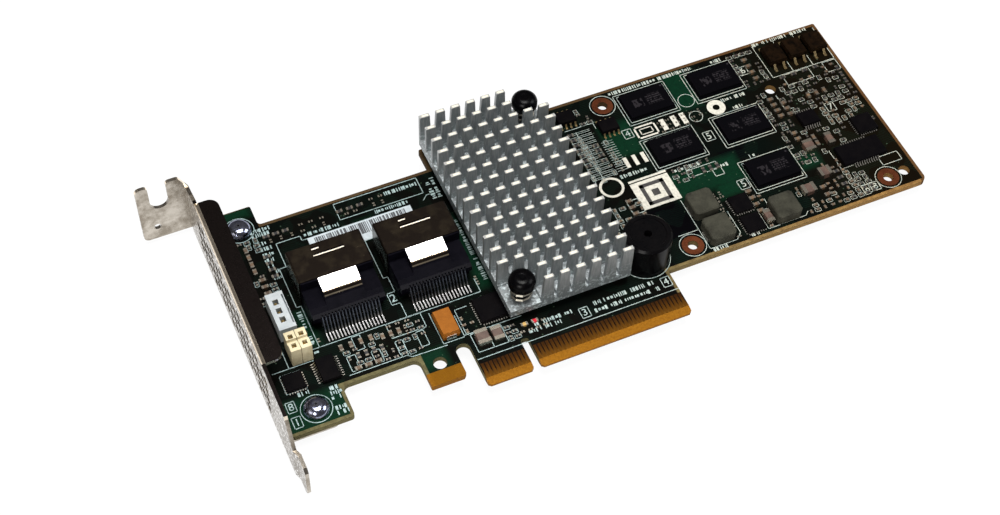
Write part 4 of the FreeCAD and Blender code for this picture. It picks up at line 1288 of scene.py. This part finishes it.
# ---- connectors -------------------------------------------------------------------
@dataclass
class CableConnectors(Assembly):
    """The two shielded cable connectors.

    Attributes:
        count: Number of connectors.
        slot: Left end, right end and distance behind the mouth of the long shell window.
        tag: The same for the short one.
        latch: Lower and upper end of the latch plate along Y.
        crease: Middle and half width of the painted shade in the crease across the latch plate.
        sill: Lower end of the painted highlight on the sill before the latch plate.
        mouth: Upper end of the painted highlight on the rim of the mouth.
    """

    count: int = 2
    slot: Triple = (-3.4, 4.1, 3.4)
    tag: Triple = (-3.2, -1.4, 1.5)
    latch: Point = (33.25, 36.35)
    crease: Point = (33.6, 0.07)
    sill: float = 33.0
    mouth: float = 32.2

    def build(self) -> None:
        """Adds thin raised strips beside the windows of the shells, painted highlights where the window
        edges catch the light.
        """
        sheet = Sheet()
        for number in range(1, self.count + 1):
            low, high = self.card.box("sas_shell_%d" % number)
            middle = (low.x + high.x) / 2
            for left, right, back in (self.slot, self.tag):
                y = high.y - back
                start = (middle + left, y - 0.2, high.z - 0.1)
                end = (middle + right, y + 0.1, high.z + 0.1)
                sheet.softened(start, end, 0.04)
        # painted highlights: bright strips standing for the window edges catching the light
        painted_window_highlight = MetalFinish((0.92, 0.86, 0.76), (0.70, 0.62, 0.52), 0.5, 0.1, Grain.ALONG_X)
        sheet.finish("window_edge_highlights", painted_window_highlight.make("window_highlight_metal"), "sas_shell_1")

    def shell(self) -> bpy.types.Material:
        """Reflective plating with painted light: a dark brown painted reflection with lighter painted
        patches and lighter painted sides facing -X, a bright painted reflection on the latch plate,
        painted shade in its crease and painted highlights on the sill and the mouth's rim.

        Returns:
            The material.
        """
        g = Graph("connector_plating")
        _, y, _ = g.axes()
        streak = g.noise(1.1, 4.0, g.stretched(0.3, 1.0, 1.0))
        patch = g.noise(0.3, 3.0)
        side = g.facing(0).below(-0.8)
        latch = y.between(*self.latch)
        crease = abs(y - self.crease[0]).below(self.crease[1])
        rim_highlights = y.between(self.sill, self.latch[0]) + y.below(self.mouth)
        # painted reflection: dark brown where the plating mirrors dark surroundings, with lighter
        # painted patches and lighter painted sides facing -X
        shell_dark_reflection = g.mixed(streak.ramp(0.3, 0.7), (0.074, 0.056, 0.045), (0.037, 0.028, 0.0225))
        shell_dark_reflection = g.mixed(patch.ramp(0.46, 0.62) * 0.75, shell_dark_reflection, (0.105, 0.082, 0.056))
        shell_dark_reflection = g.mixed(side * 0.6, shell_dark_reflection, (0.10, 0.087, 0.065))
        # painted reflection: the latch plate is painted near white where it mirrors bright light
        bright = g.mixed(streak.ramp(0.3, 0.7), (0.97, 0.96, 0.95), (0.90, 0.89, 0.88))
        colour = g.mixed(latch, shell_dark_reflection, bright)
        # painted shade in the crease across the latch plate
        colour = g.mixed(crease, colour, (0.10, 0.09, 0.10))
        # painted highlights on the sill and on the mouth's rim
        colour = g.mixed(rim_highlights.clamped(), colour, (0.75, 0.64, 0.48))
        return g.surface(
            Base_Color=colour,
            Metallic=1.0,
            Roughness=(streak * 0.16 + 0.16 + latch * 0.1).clamped(),
            Normal=g.bump(patch, 0.15, 0.05),
        )

    def leads(self) -> bpy.types.Material:
        """Tinned feet, painted in shade higher up where the moulding shades them.

        Returns:
            The material.
        """
        g = Graph("lead_tin")
        base = self.card.box("sas_contacts_1")[0].z
        _, _, z = g.axes()
        grain = g.noise(1.8, 3.0)
        foot = 1.0 - z.ramp(base + 0.35, base + 1.3)
        tin = g.mixed(grain.ramp(0.35, 0.7), (0.72, 0.71, 0.70), (0.42, 0.41, 0.42))
        # painted shade: the leads are painted dark above their feet
        shaded = g.mixed(grain.ramp(0.35, 0.7), (0.15, 0.17, 0.21), (0.07, 0.08, 0.10))
        return g.surface(
            Base_Color=g.mixed(foot, shaded, tin),
            Metallic=1.0,
            Roughness=(grain * 0.2 + 0.26).clamped(),
            Normal=g.bump(grain, 0.2, 0.01),
        )

    def dress(self) -> None:
        """Gives shells, housings and leads their materials."""
        names = [str(i) for i in range(1, self.count + 1)]
        self.card.dress(["sas_shell_" + n for n in names], self.shell())
        black = MouldedFinish(
            (0.0012, 0.0011, 0.0024), (0.0028, 0.0025, 0.0045), 0.42, 6.0, 0.01, 0.03
        )
        self.card.dress(["sas_housing_" + n for n in names], black.make("connector_plastic"))
        self.card.dress(["sas_contacts_" + n for n in names], self.leads())


# ---- chips ------------------------------------------------------------------------
@dataclass
class Chips(Assembly):
    """Memory and other packaged chips.

    Attributes:
        black: Nodes of black epoxy.
        tinned: Nodes of bright leads.
        gilded: Nodes of warmer leads.
        leadless: Packages with solder pads along their sides.
        pad_step: Spacing of those pads.
        pad: Half width and half length of a pad.
        pad_out: How far the middle of a pad is past the package's side.
        pad_height: Its height.
    """

    black: Tuple[str, ...] = (
        "flash_chip", "bridge_chip", "monitor_chip", "eeprom_chips", "power_chips",
        "regulator_chip", "interface_chip", "logic_chip",
    )
    tinned: Tuple[str, ...] = ("flash_leads", "bridge_leads", "monitor_leads")
    gilded: Tuple[str, ...] = ("eeprom_leads", "power_transistor_leads")
    leadless: Tuple[str, ...] = ("interface_chip", "power_chips", "logic_chip", "regulator_chip")
    pad_step: float = 0.62
    pad: Point = (0.14, 0.26)
    pad_out: float = 0.12
    pad_height: float = 0.1

    def dress(self) -> None:
        """Gives every chip and its leads their materials."""
        for name in sorted(n for n in self.card.nodes if n.startswith("memory_chip")):
            low, high = self.card.box(name)
            mark = MarkedChipFinish((low.x, low.y), (high.x, high.y), high.z)
            self.card.dress([name], mark.make(name + "_epoxy"))
        self.card.coat(
            ("chip_epoxy", self.black,
             MouldedFinish((0.0011, 0.0009, 0.0014), (0.0028, 0.0022, 0.0024), 0.42, 8.0, 0.01, 0.03)),
            ("power_epoxy", ["power_transistors"],
             MouldedFinish((0.0020, 0.0014, 0.0010), (0.009, 0.0045, 0.002), 0.3, 1.4, 0.01, 0.03)),
            ("chip_lead_tin", self.tinned,
             MetalFinish((0.66, 0.63, 0.58), (0.42, 0.39, 0.34), 0.28, 0.1)),
            ("warm_lead_tin", self.gilded,
             MetalFinish((0.78, 0.60, 0.32), (0.48, 0.34, 0.16), 0.28, 0.1)),
        )

    def build(self) -> None:
        """Adds the row of solder pads along each side of the leadless chips."""
        sheet = Sheet()
        base = self.card.face() - SUNK
        for name in self.leadless:
            for low, high in self.card.solids(name):
                for axis, other in ((0, 1), (1, 0)):
                    count = int((high[axis] - low[axis] - 0.5) / self.pad_step) + 1
                    start = (low[axis] + high[axis] - (count - 1) * self.pad_step) / 2
                    for i in range(count):
                        for edge in (low[other] - self.pad_out, high[other] + self.pad_out):
                            a, b = Vector((0, 0, base)), Vector((0, 0, base + self.pad_height))
                            for side, middle, half in zip(
                                (axis, other), (start + i * self.pad_step, edge), self.pad
                            ):
                                a[side], b[side] = middle - half, middle + half
                            sheet.block(a, b)
        tin = MetalFinish((0.66, 0.63, 0.58), (0.36, 0.33, 0.28), 0.3, 0.1)
        sheet.finish("chip_pads", tin.make("pad_tin"), "tantalum_terminals")


# ---- other parts ------------------------------------------------------------------
@dataclass
class Passives(Assembly):
    """Inductors, capacitors, resistors, sounder, headers and lamps.

    Attributes:
        cap_share: Share of a part's length under each end cap.
        proud: How far a cap stands out.
    """

    cap_share: float = 0.24
    proud: float = 0.03

    def dress(self) -> None:
        """Gives the passive parts their materials."""
        nodes = self.card.nodes
        inductors = [n for n in nodes if n.startswith("inductor_") and n[-1].isdigit()]
        self.card.coat(
            ("pressed_powder", inductors,
             MouldedFinish((0.036, 0.035, 0.026), (0.015, 0.0145, 0.011), 0.62, 2.2, 0.05, 0.06)),
            ("terminal_tin", ["inductor_terminals", "tantalum_terminals"],
             MetalFinish((0.72, 0.70, 0.66), (0.48, 0.46, 0.42), 0.26, 0.1)),
            ("orange_case", ["tantalum_case"],
             MouldedFinish((0.235, 0.080, 0.010), (0.17, 0.055, 0.006), 0.45, 3.0, 0.02, 0.08)),
            ("sounder_case", ["buzzer"],
             MouldedFinish((0.0010, 0.0010, 0.0013), (0.0022, 0.0018, 0.0020), 0.3, 2.0, 0.01, 0.06)),
            ("header_plastic", ["header_housing"],
             MouldedFinish((0.42, 0.45, 0.46), (0.30, 0.33, 0.35), 0.4, 3.0, 0.02)),
            ("jumper_plastic", ["jumper_caps"],
             MouldedFinish((0.58, 0.51, 0.34), (0.44, 0.37, 0.22), 0.4, 3.0, 0.02)),
            ("post_gold", ["header_pins", "jumper_posts"],
             MetalFinish((0.82, 0.60, 0.26), (0.60, 0.42, 0.16), 0.22, 0.08)),
            ("brown_ceramic", ["filter_capacitors"],
             CeramicFinish((0.048, 0.027, 0.020), (0.085, 0.050, 0.036))),
            ("capacitor_ceramic", ["small_capacitors"],
             CeramicFinish((0.05, 0.030, 0.018), (0.11, 0.068, 0.036))),
            ("resistor_glaze", ["small_resistors"],
             CeramicFinish((0.004, 0.004, 0.005), (0.012, 0.010, 0.010))),
        )
        self.card.dress(["indicator_lamps"], self.lamps())

    def lamps(self) -> bpy.types.Material:
        """Clear resin of the two lamps, amber on the left and red on the right.

        Returns:
            The material.
        """
        g = Graph("lamp_resin")
        first, second = self.card.solids("indicator_lamps")
        split = (first[0].x + first[1].x + second[0].x + second[1].x) / 4
        x, _, _ = g.axes()
        cloud = g.noise(2.0, 3.0)
        amber = g.mixed(cloud, (0.50, 0.34, 0.12), (0.34, 0.20, 0.07))
        red = g.mixed(cloud, (0.52, 0.015, 0.03), (0.34, 0.008, 0.018))
        return g.surface(
            Base_Color=g.mixed(x.above(split), amber, red),
            Roughness=(cloud * 0.2 + 0.16).clamped(),
            Normal=g.bump(cloud, 0.15, 0.005),
        )

    def build(self) -> None:
        """Adds the tinned end caps of the small parts."""
        sheet = Sheet()
        for node in ("small_capacitors", "small_resistors", "filter_capacitors", "indicator_lamps"):
            for low, high in self.card.solids(node):
                self._caps(sheet, low, high)
        tin = MetalFinish((0.62, 0.57, 0.48), (0.36, 0.31, 0.25), 0.28, 0.1)
        sheet.finish("part_end_caps", tin.make("end_cap_tin"), "tantalum_terminals")

    def _caps(self, sheet: Sheet, low: Vector, high: Vector) -> None:
        """Adds a cap over each end of one part.

        Args:
            sheet: Mesh that takes them.
            low: Lowest corner of the part.
            high: Highest corner of the part.
        """
        axis = 0 if high.x - low.x > high.y - low.y else 1
        length = (high[axis] - low[axis]) * self.cap_share
        for end in (0, 1):
            a, b = low.copy(), high.copy()
            if end == 0:
                b[axis] = low[axis] + length
            else:
                a[axis] = high[axis] - length
            a -= Vector((self.proud, self.proud, 0))
            b += Vector((self.proud, self.proud, self.proud))
            sheet.block(a, b)


@dataclass
class Label(Assembly):
    """White bar label beside the connectors."""

    def dress(self) -> None:
        """Paints plain bars of uneven width on the label."""
        g = Graph("bar_label_paper")
        low, high = self.card.box("bar_label")
        x, y, _ = g.axes()
        bars = g.noise(2.3, 2.0, g.stretched(1.0, 0.0, 0.0)).above(0.49)
        printed = y.between(low.y + 2.0, high.y - 0.45) * x.between(low.x + 1.5, high.x - 1.5)
        paper = g.mixed(g.noise(1.2, 4.0).ramp(0.3, 0.7), (0.44, 0.49, 0.52), (0.34, 0.38, 0.41))
        self.card.dress(
            ["bar_label"],
            g.surface(
                Base_Color=g.mixed(bars * printed * 0.95, paper, (0.02, 0.02, 0.025)),
                Roughness=(g.noise(2.0) * 0.2 + 0.45).clamped(),
                Normal=g.bump(g.noise(0.4), 0.1, 0.05),
            ),
        )


@dataclass
class Numbers(Assembly):
    """Plain numbers printed in the boxed places of the board.

    Attributes:
        places: Number, centre x, centre y and height of each.
        em: Font size that gives a number of height 1.
        half: Half the thickness of the ink.
    """

    places: List[Tuple[str, float, float, float]] = field(
        default_factory=lambda: [
            ("1", -55.0, 7.4, 2.0), ("8", -55.0, 11.6, 2.0), ("2", -23.3, 30.1, 2.3),
            ("3", 16.0, 9.4, 2.0), ("4", 37.3, 9.85, 1.9), ("4", 48.8, 53.7, 2.0),
            ("5", 67.2, 45.3, 2.1), ("5", 68.0, 28.6, 2.1), ("6", 85.4, 61.3, 2.0),
            ("7", 100.3, 42.1, 2.0), ("6", 95.3, 15.6, 1.9), ("8", 97.6, 15.6, 1.9),
        ]
    )
    em: float = 1.35
    half: float = 0.015

    def build(self) -> None:
        """Builds the numbers as thin raised ink."""
        base = self.card.face()
        sheet = Sheet()
        for text, x, y, height in self.places:
            curve = bpy.data.curves.new("number_" + text, "FONT")
            curve.body, curve.size, curve.extrude = text, height * self.em, self.half
            curve.align_x, curve.align_y = "CENTER", "CENTER"
            curve.resolution_u = 3
            holder = bpy.data.objects.new("number_" + text, curve)
            shape = bpy.data.meshes.new_from_object(holder)
            shape.transform(Matrix.Translation((x, y, base + self.half)))
            sheet.mesh.from_mesh(shape)
            bpy.data.objects.remove(holder)
            bpy.data.curves.remove(curve)
            bpy.data.meshes.remove(shape)
        sheet.finish("printed_numbers", InkFinish().make("number_ink"), "circuit_board")


class Kind(Enum):
    """What fills a cluster of tiny parts."""

    RESISTOR = 0
    CAPACITOR = 1
    PADS = 2


@dataclass(frozen=True)
class Cluster:
    """A rectangle of the board filled with tiny parts in a loose grid.

    Attributes:
        low: Lower left corner.
        high: Upper right corner.
        step: Spacing along X and Y.
        kind: What fills it.
        framed: True when each part has a printed frame.
    """

    low: Point
    high: Point
    step: Point
    kind: Kind
    framed: bool = False


@dataclass
class TinyParts(Assembly):
    """Hundreds of tiny parts and solder pads that crowd the board between the larger ones.

    Attributes:
        size: Length, width and height of one.
        framed: Share of the parts of a framed cluster that get a frame.
        frame: Gap round the part, line width and thickness of its printed frame.
        standoff: Half side of the square that is left free round a standoff hole.
        tooling: Left, lower, right and upper side of the place left free round a hole.
        clusters: Where they stand.
    """

    size: Triple = (1.05, 0.55, 0.4)
    framed: float = 0.6
    frame: Triple = (0.22, 0.11, 0.03)
    standoff: float = 3.3
    tooling: Area = (86.9, 50.6, 91.1, 54.9)
    clusters: List[Cluster] = field(
        default_factory=lambda: [
            # beside the bracket and below the connectors
            Cluster((-51.2, 38.5), (-45.8, 60.0), (1.9, 1.5), Kind.RESISTOR, True),
            Cluster((-43.2, 26.0), (-42.8, 46.0), (1.5, 2.6), Kind.PADS),
            Cluster((-40.6, 14.9), (-19.0, 23.6), (2.0, 1.75), Kind.RESISTOR, True),
            Cluster((-27.3, 20.3), (-19.6, 23.6), (1.15, 1.5), Kind.PADS),
            Cluster((-11.2, 15.0), (-7.8, 21.4), (1.9, 1.8), Kind.CAPACITOR),
            Cluster((-2.6, 9.4), (0.6, 13.8), (1.6, 1.5), Kind.RESISTOR, True),
            Cluster((0.6, 10.0), (6.4, 13.0), (1.9, 1.5), Kind.PADS),
            Cluster((-44.0, 56.6), (-28.5, 60.2), (2.7, 1.9), Kind.PADS),
            Cluster((-24.5, 57.4), (-15.0, 60.0), (2.3, 1.9), Kind.PADS),
            Cluster((-3.4, 25.0), (-2.2, 47.5), (1.6, 1.6), Kind.PADS),
            # right of the heatsink
            Cluster((30.6, 61.4), (33.8, 66.0), (1.9, 1.5), Kind.RESISTOR, True),
            Cluster((39.8, 60.8), (43.8, 67.4), (1.9, 1.4), Kind.RESISTOR, True),
            Cluster((34.8, 42.8), (37.2, 58.2), (2.2, 1.15), Kind.PADS, True),
            Cluster((40.4, 44.0), (42.8, 54.0), (2.2, 1.15), Kind.PADS, True),
            Cluster((31.0, 24.6), (41.6, 33.6), (2.1, 1.7), Kind.CAPACITOR, True),
            Cluster((53.6, 35.2), (66.0, 39.4), (1.9, 1.7), Kind.RESISTOR, True),
            Cluster((59.6, 15.0), (61.4, 28.5), (1.6, 1.1), Kind.PADS),
            Cluster((66.4, 14.6), (70.0, 24.6), (1.6, 1.3), Kind.CAPACITOR),
            Cluster((57.6, 51.0), (69.0, 55.0), (2.2, 1.5), Kind.PADS),
            # crowded far end
            Cluster((84.4, 28.6), (93.0, 52.0), (1.8, 1.45), Kind.RESISTOR, True),
            Cluster((84.2, 56.0), (91.0, 67.4), (1.9, 1.5), Kind.RESISTOR, True),
            Cluster((79.0, 14.6), (93.0, 22.6), (2.0, 1.5), Kind.CAPACITOR, True),
            Cluster((90.4, 43.8), (109.4, 52.0), (2.0, 1.6), Kind.RESISTOR, True),
            Cluster((93.0, 52.8), (109.2, 55.8), (2.4, 1.7), Kind.CAPACITOR),
            Cluster((93.4, 29.8), (109.2, 37.4), (2.1, 1.6), Kind.RESISTOR, True),
            Cluster((98.0, 37.6), (109.2, 43.6), (1.9, 1.5), Kind.CAPACITOR, True),
            Cluster((88.6, 23.0), (96.0, 29.4), (2.0, 1.6), Kind.CAPACITOR),
            Cluster((91.0, 14.6), (97.8, 22.0), (1.9, 1.5), Kind.RESISTOR, True),
        ]
    )

    def taken(self) -> List[Box]:
        """Boxes of everything that already stands on the board.

        Returns:
            Lowest and highest corner of each.
        """
        skip = ("circuit_board", "bracket", "heatsink", "edge_contacts_front", "edge_contacts_back")
        top = self.card.face()
        boxes = []
        for name in self.card.nodes:
            if name in skip:
                continue
            for low, high in self.card.solids(name):
                if high.z > top + 0.05 and low.z < top + 2.0:
                    boxes.append((low, high))
        reach = Vector((self.standoff, self.standoff, 0))
        for x, y in self.card.standoffs:
            boxes.append((Vector((x, y, 0)) - reach, Vector((x, y, 0)) + reach))
        x0, y0, x1, y1 = self.tooling
        boxes.append((Vector((x0, y0, 0)), Vector((x1, y1, 0))))
        return boxes

    def build(self) -> None:
        """Builds bodies, ends, pads and frames of all the clusters."""
        base = self.card.face()
        taken = self.taken()
        gap, line, thick = self.frame
        bodies = {Kind.RESISTOR: Sheet(), Kind.CAPACITOR: Sheet()}
        ends, frames = Sheet(), Sheet()
        rng = random.Random(7)
        for cluster in self.clusters:
            for x, y in self._spots(cluster, rng):
                along_x = rng.random() < 0.6
                sx, sy = self.size[:2] if along_x else self.size[1::-1]
                low = Vector((x - sx / 2, y - sy / 2, base))
                high = Vector((x + sx / 2, y + sy / 2, base + self.size[2]))
                if any(self._meets(low, high, box) for box in taken):
                    continue
                taken.append((low, high))
                self._part(cluster.kind, low, high, 0 if along_x else 1, bodies, ends)
                if cluster.framed and rng.random() < self.framed:
                    start, end = (low.x - gap, low.y - gap), (high.x + gap, high.y + gap)
                    frames.outline(start, end, line, base - SUNK, thick)
        dark = CeramicFinish((0.004, 0.004, 0.005), (0.016, 0.012, 0.012)).make("tiny_resistor_glaze")
        bodies[Kind.RESISTOR].finish("tiny_resistors", dark, "small_resistors")
        tan = CeramicFinish((0.05, 0.030, 0.018), (0.12, 0.075, 0.040)).make("tiny_capacitor_body")
        bodies[Kind.CAPACITOR].finish("tiny_capacitors", tan, "small_capacitors")
        tin = MetalFinish((0.62, 0.57, 0.48), (0.30, 0.25, 0.19), 0.3, 0.1)
        ends.finish("tiny_ends_and_pads", tin.make("tiny_end_tin"), "tantalum_terminals")
        frames.finish("tiny_frames", InkFinish().make("frame_ink"), "circuit_board")

    @staticmethod
    def _spots(cluster: Cluster, rng: random.Random) -> Iterable[Point]:
        """Grid places of a cluster, a few of them left out and each a little moved.

        Args:
            cluster: The cluster.
            rng: Source of the random draws.

        Yields:
            The places.
        """
        x = cluster.low[0]
        while x <= cluster.high[0]:
            y = cluster.low[1]
            while y <= cluster.high[1]:
                if rng.random() > 0.16:
                    yield x + rng.uniform(-0.12, 0.12), y + rng.uniform(-0.08, 0.08)
                y += cluster.step[1]
            x += cluster.step[0]

    @staticmethod
    def _meets(low: Vector, high: Vector, box: Box, gap: float = 0.3) -> bool:
        """True when a part would stand closer than gap to a box."""
        return all(low[i] < box[1][i] + gap and high[i] > box[0][i] - gap for i in (0, 1))

    @staticmethod
    def _part(
        kind: Kind, low: Vector, high: Vector, axis: int, bodies: Dict[Kind, Sheet], ends: Sheet
    ) -> None:
        """Adds one part: a body with two ends, or only its two pads.

        Args:
            kind: What it is.
            low: Lowest corner.
            high: Highest corner.
            axis: 0 when it lies along X, 1 along Y.
            bodies: Body meshes by kind.
            ends: Mesh of tinned ends.
        """
        third = (high[axis] - low[axis]) * (0.34 if kind is Kind.PADS else 0.27)
        top = low.z + 0.04 if kind is Kind.PADS else high.z + 0.02
        for side in (0, 1):
            a, b = low.copy(), high.copy()
            if side:
                a[axis] = high[axis] - third
            else:
                b[axis] = low[axis] + third
            a.z, b.z = low.z - SUNK, top
            ends.block(a, b)
        if kind is not Kind.PADS:
            a, b = low.copy(), high.copy()
            a[axis] += third * 0.5
            b[axis] -= third * 0.5
            a.z = low.z - SUNK
            bodies[kind].block(a, b)


# ---- studio -----------------------------------------------------------------------
@dataclass
class Studio(Assembly):
    """Camera, floor and lamps.

    Attributes:
        position: Camera place, in millimetres.
        right: Direction of the picture's right side.
        down: Direction of the picture's lower side.
        focal: Focal length for a 36 mm wide sensor.
        middle: Point that the lamps face, in millimetres.
        drop: Gap between the card's lowest point and the floor, in metres.
    """

    position: Triple = (-101.015, -187.034, 336.703)
    right: Triple = (0.915229, -0.402144, 0.025227)
    down: Triple = (-0.312839, -0.748650, -0.584512)
    focal: float = 63.24
    middle: Triple = (20.0, 35.0, 0.0)
    drop: float = 0.0002

    def camera(self) -> None:
        """Creates the camera."""
        data = bpy.data.cameras.new("camera")
        data.lens, data.sensor_width = self.focal, 36.0
        data.clip_start, data.clip_end = 0.01, 20.0
        right = Vector(self.right).normalized()
        up = -Vector(self.down).normalized()
        back = right.cross(up).normalized()
        up = back.cross(right)
        turn = Matrix((right, up, back)).transposed().to_4x4()
        camera = bpy.data.objects.new("camera", data)
        camera.matrix_world = Matrix.Translation(Vector(self.position) * MM) @ turn
        bpy.context.scene.collection.objects.link(camera)
        bpy.context.scene.camera = camera

    def floor(self) -> None:
        """Creates a pale floor that looks white and takes the card's shadow."""
        low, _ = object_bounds()
        work = bmesh.new()
        bmesh.ops.create_grid(work, x_segments=1, y_segments=1, size=6.0)
        bmesh.ops.translate(work, vec=(0, 0, low.z - self.drop), verts=work.verts)
        data = bpy.data.meshes.new("floor")
        work.to_mesh(data)
        work.free()
        floor = bpy.data.objects.new("floor", data)
        bpy.context.scene.collection.objects.link(floor)
        floor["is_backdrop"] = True
        g = Graph("floor_white")
        g.surface(Base_Color=(0.86, 0.86, 0.86), Roughness=0.9)
        tree = g.tree
        rays = tree.nodes.new("ShaderNodeLightPath")
        glow = tree.nodes.new("ShaderNodeEmission")
        glow.inputs["Color"].default_value = (1, 1, 1, 1)
        glow.inputs["Strength"].default_value = 1.0
        mix = tree.nodes.new("ShaderNodeMixShader")
        camera, glossy, through = (
            Val(g, rays.outputs["Is %s Ray" % ray]) for ray in ("Camera", "Glossy", "Transmission")
        )
        seen = camera.most(glossy).most(through) * 0.94
        tree.links.new(seen.socket, mix.inputs[0])
        tree.links.new(g.shader.outputs[0], mix.inputs[1])
        tree.links.new(glow.outputs[0], mix.inputs[2])
        output = next(n for n in tree.nodes if n.type == "OUTPUT_MATERIAL")
        tree.links.new(mix.outputs[0], output.inputs["Surface"])
        data.materials.append(g.material)

    def lamp(
        self, name: str, place: Sequence[float], size: float, watts: float, colour: Colour
    ) -> None:
        """Adds a square lamp that faces the middle of the card.

        Args:
            name: Its name.
            place: Where it hangs, in metres.
            size: Its side, in metres.
            watts: Its power.
            colour: Its colour.
        """
        data = bpy.data.lights.new(name, "AREA")
        data.size, data.energy, data.color = size, watts, colour
        lamp = bpy.data.objects.new(name, data)
        aim = Vector(self.middle) * MM - Vector(place)
        turn = aim.to_track_quat("-Z", "Y").to_matrix().to_4x4()
        lamp.matrix_world = Matrix.Translation(place) @ turn
        bpy.context.scene.collection.objects.link(lamp)

    def light(self) -> None:
        """Lights the card softly from above and from the camera's side."""
        self.lamp("overhead", (0.02, 0.02, 0.75), 0.34, 9.0, (1.0, 0.99, 0.97))
        self.lamp("front_left", (-0.55, -0.55, 0.55), 0.35, 7.0, (1.0, 0.98, 0.95))
        self.lamp("right", (0.7, -0.2, 0.5), 0.4, 4.0, (0.95, 0.98, 1.0))
        world = bpy.data.worlds.new("room")
        bpy.context.scene.world = world
        world.use_nodes = True
        tree = world.node_tree
        back = tree.nodes["Background"]
        back.inputs["Color"].default_value = (0.11, 0.105, 0.10, 1.0)
        back.inputs["Strength"].default_value = 1.0

    def build(self) -> None:
        """Sets up the whole studio."""
        bpy.context.scene.view_settings.view_transform = "Standard"
        self.camera()
        self.floor()
        self.light()


ASSEMBLIES: Tuple[Type[Assembly], ...] = (
    Board, HolePads, Print, Bracket, Cooler, CableConnectors,
    Chips, Passives, Label, Numbers, TinyParts, Studio,
)


def corners(pair: Box) -> List[List[float]]:
    """Two corners as plain lists."""
    return [list(pair[0]), list(pair[1])]


def main() -> None:
    """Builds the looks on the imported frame."""
    logging.basicConfig(level=logging.INFO, format="%(name)s %(message)s")
    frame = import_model()
    before = corners(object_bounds())
    places = [m["pos_m"] for m in frame["record"]["mounts"] if m["name"].startswith("standoff")]
    card = Card(frame["nodes"], [(place[0] / MM, place[1] / MM) for place in places])
    for kind in ASSEMBLIES:
        assembly = kind(card)
        assembly.dress()
        assembly.build()
    {"cad": before, "visual": corners(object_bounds())}


if __name__ == "__main__":
    main()
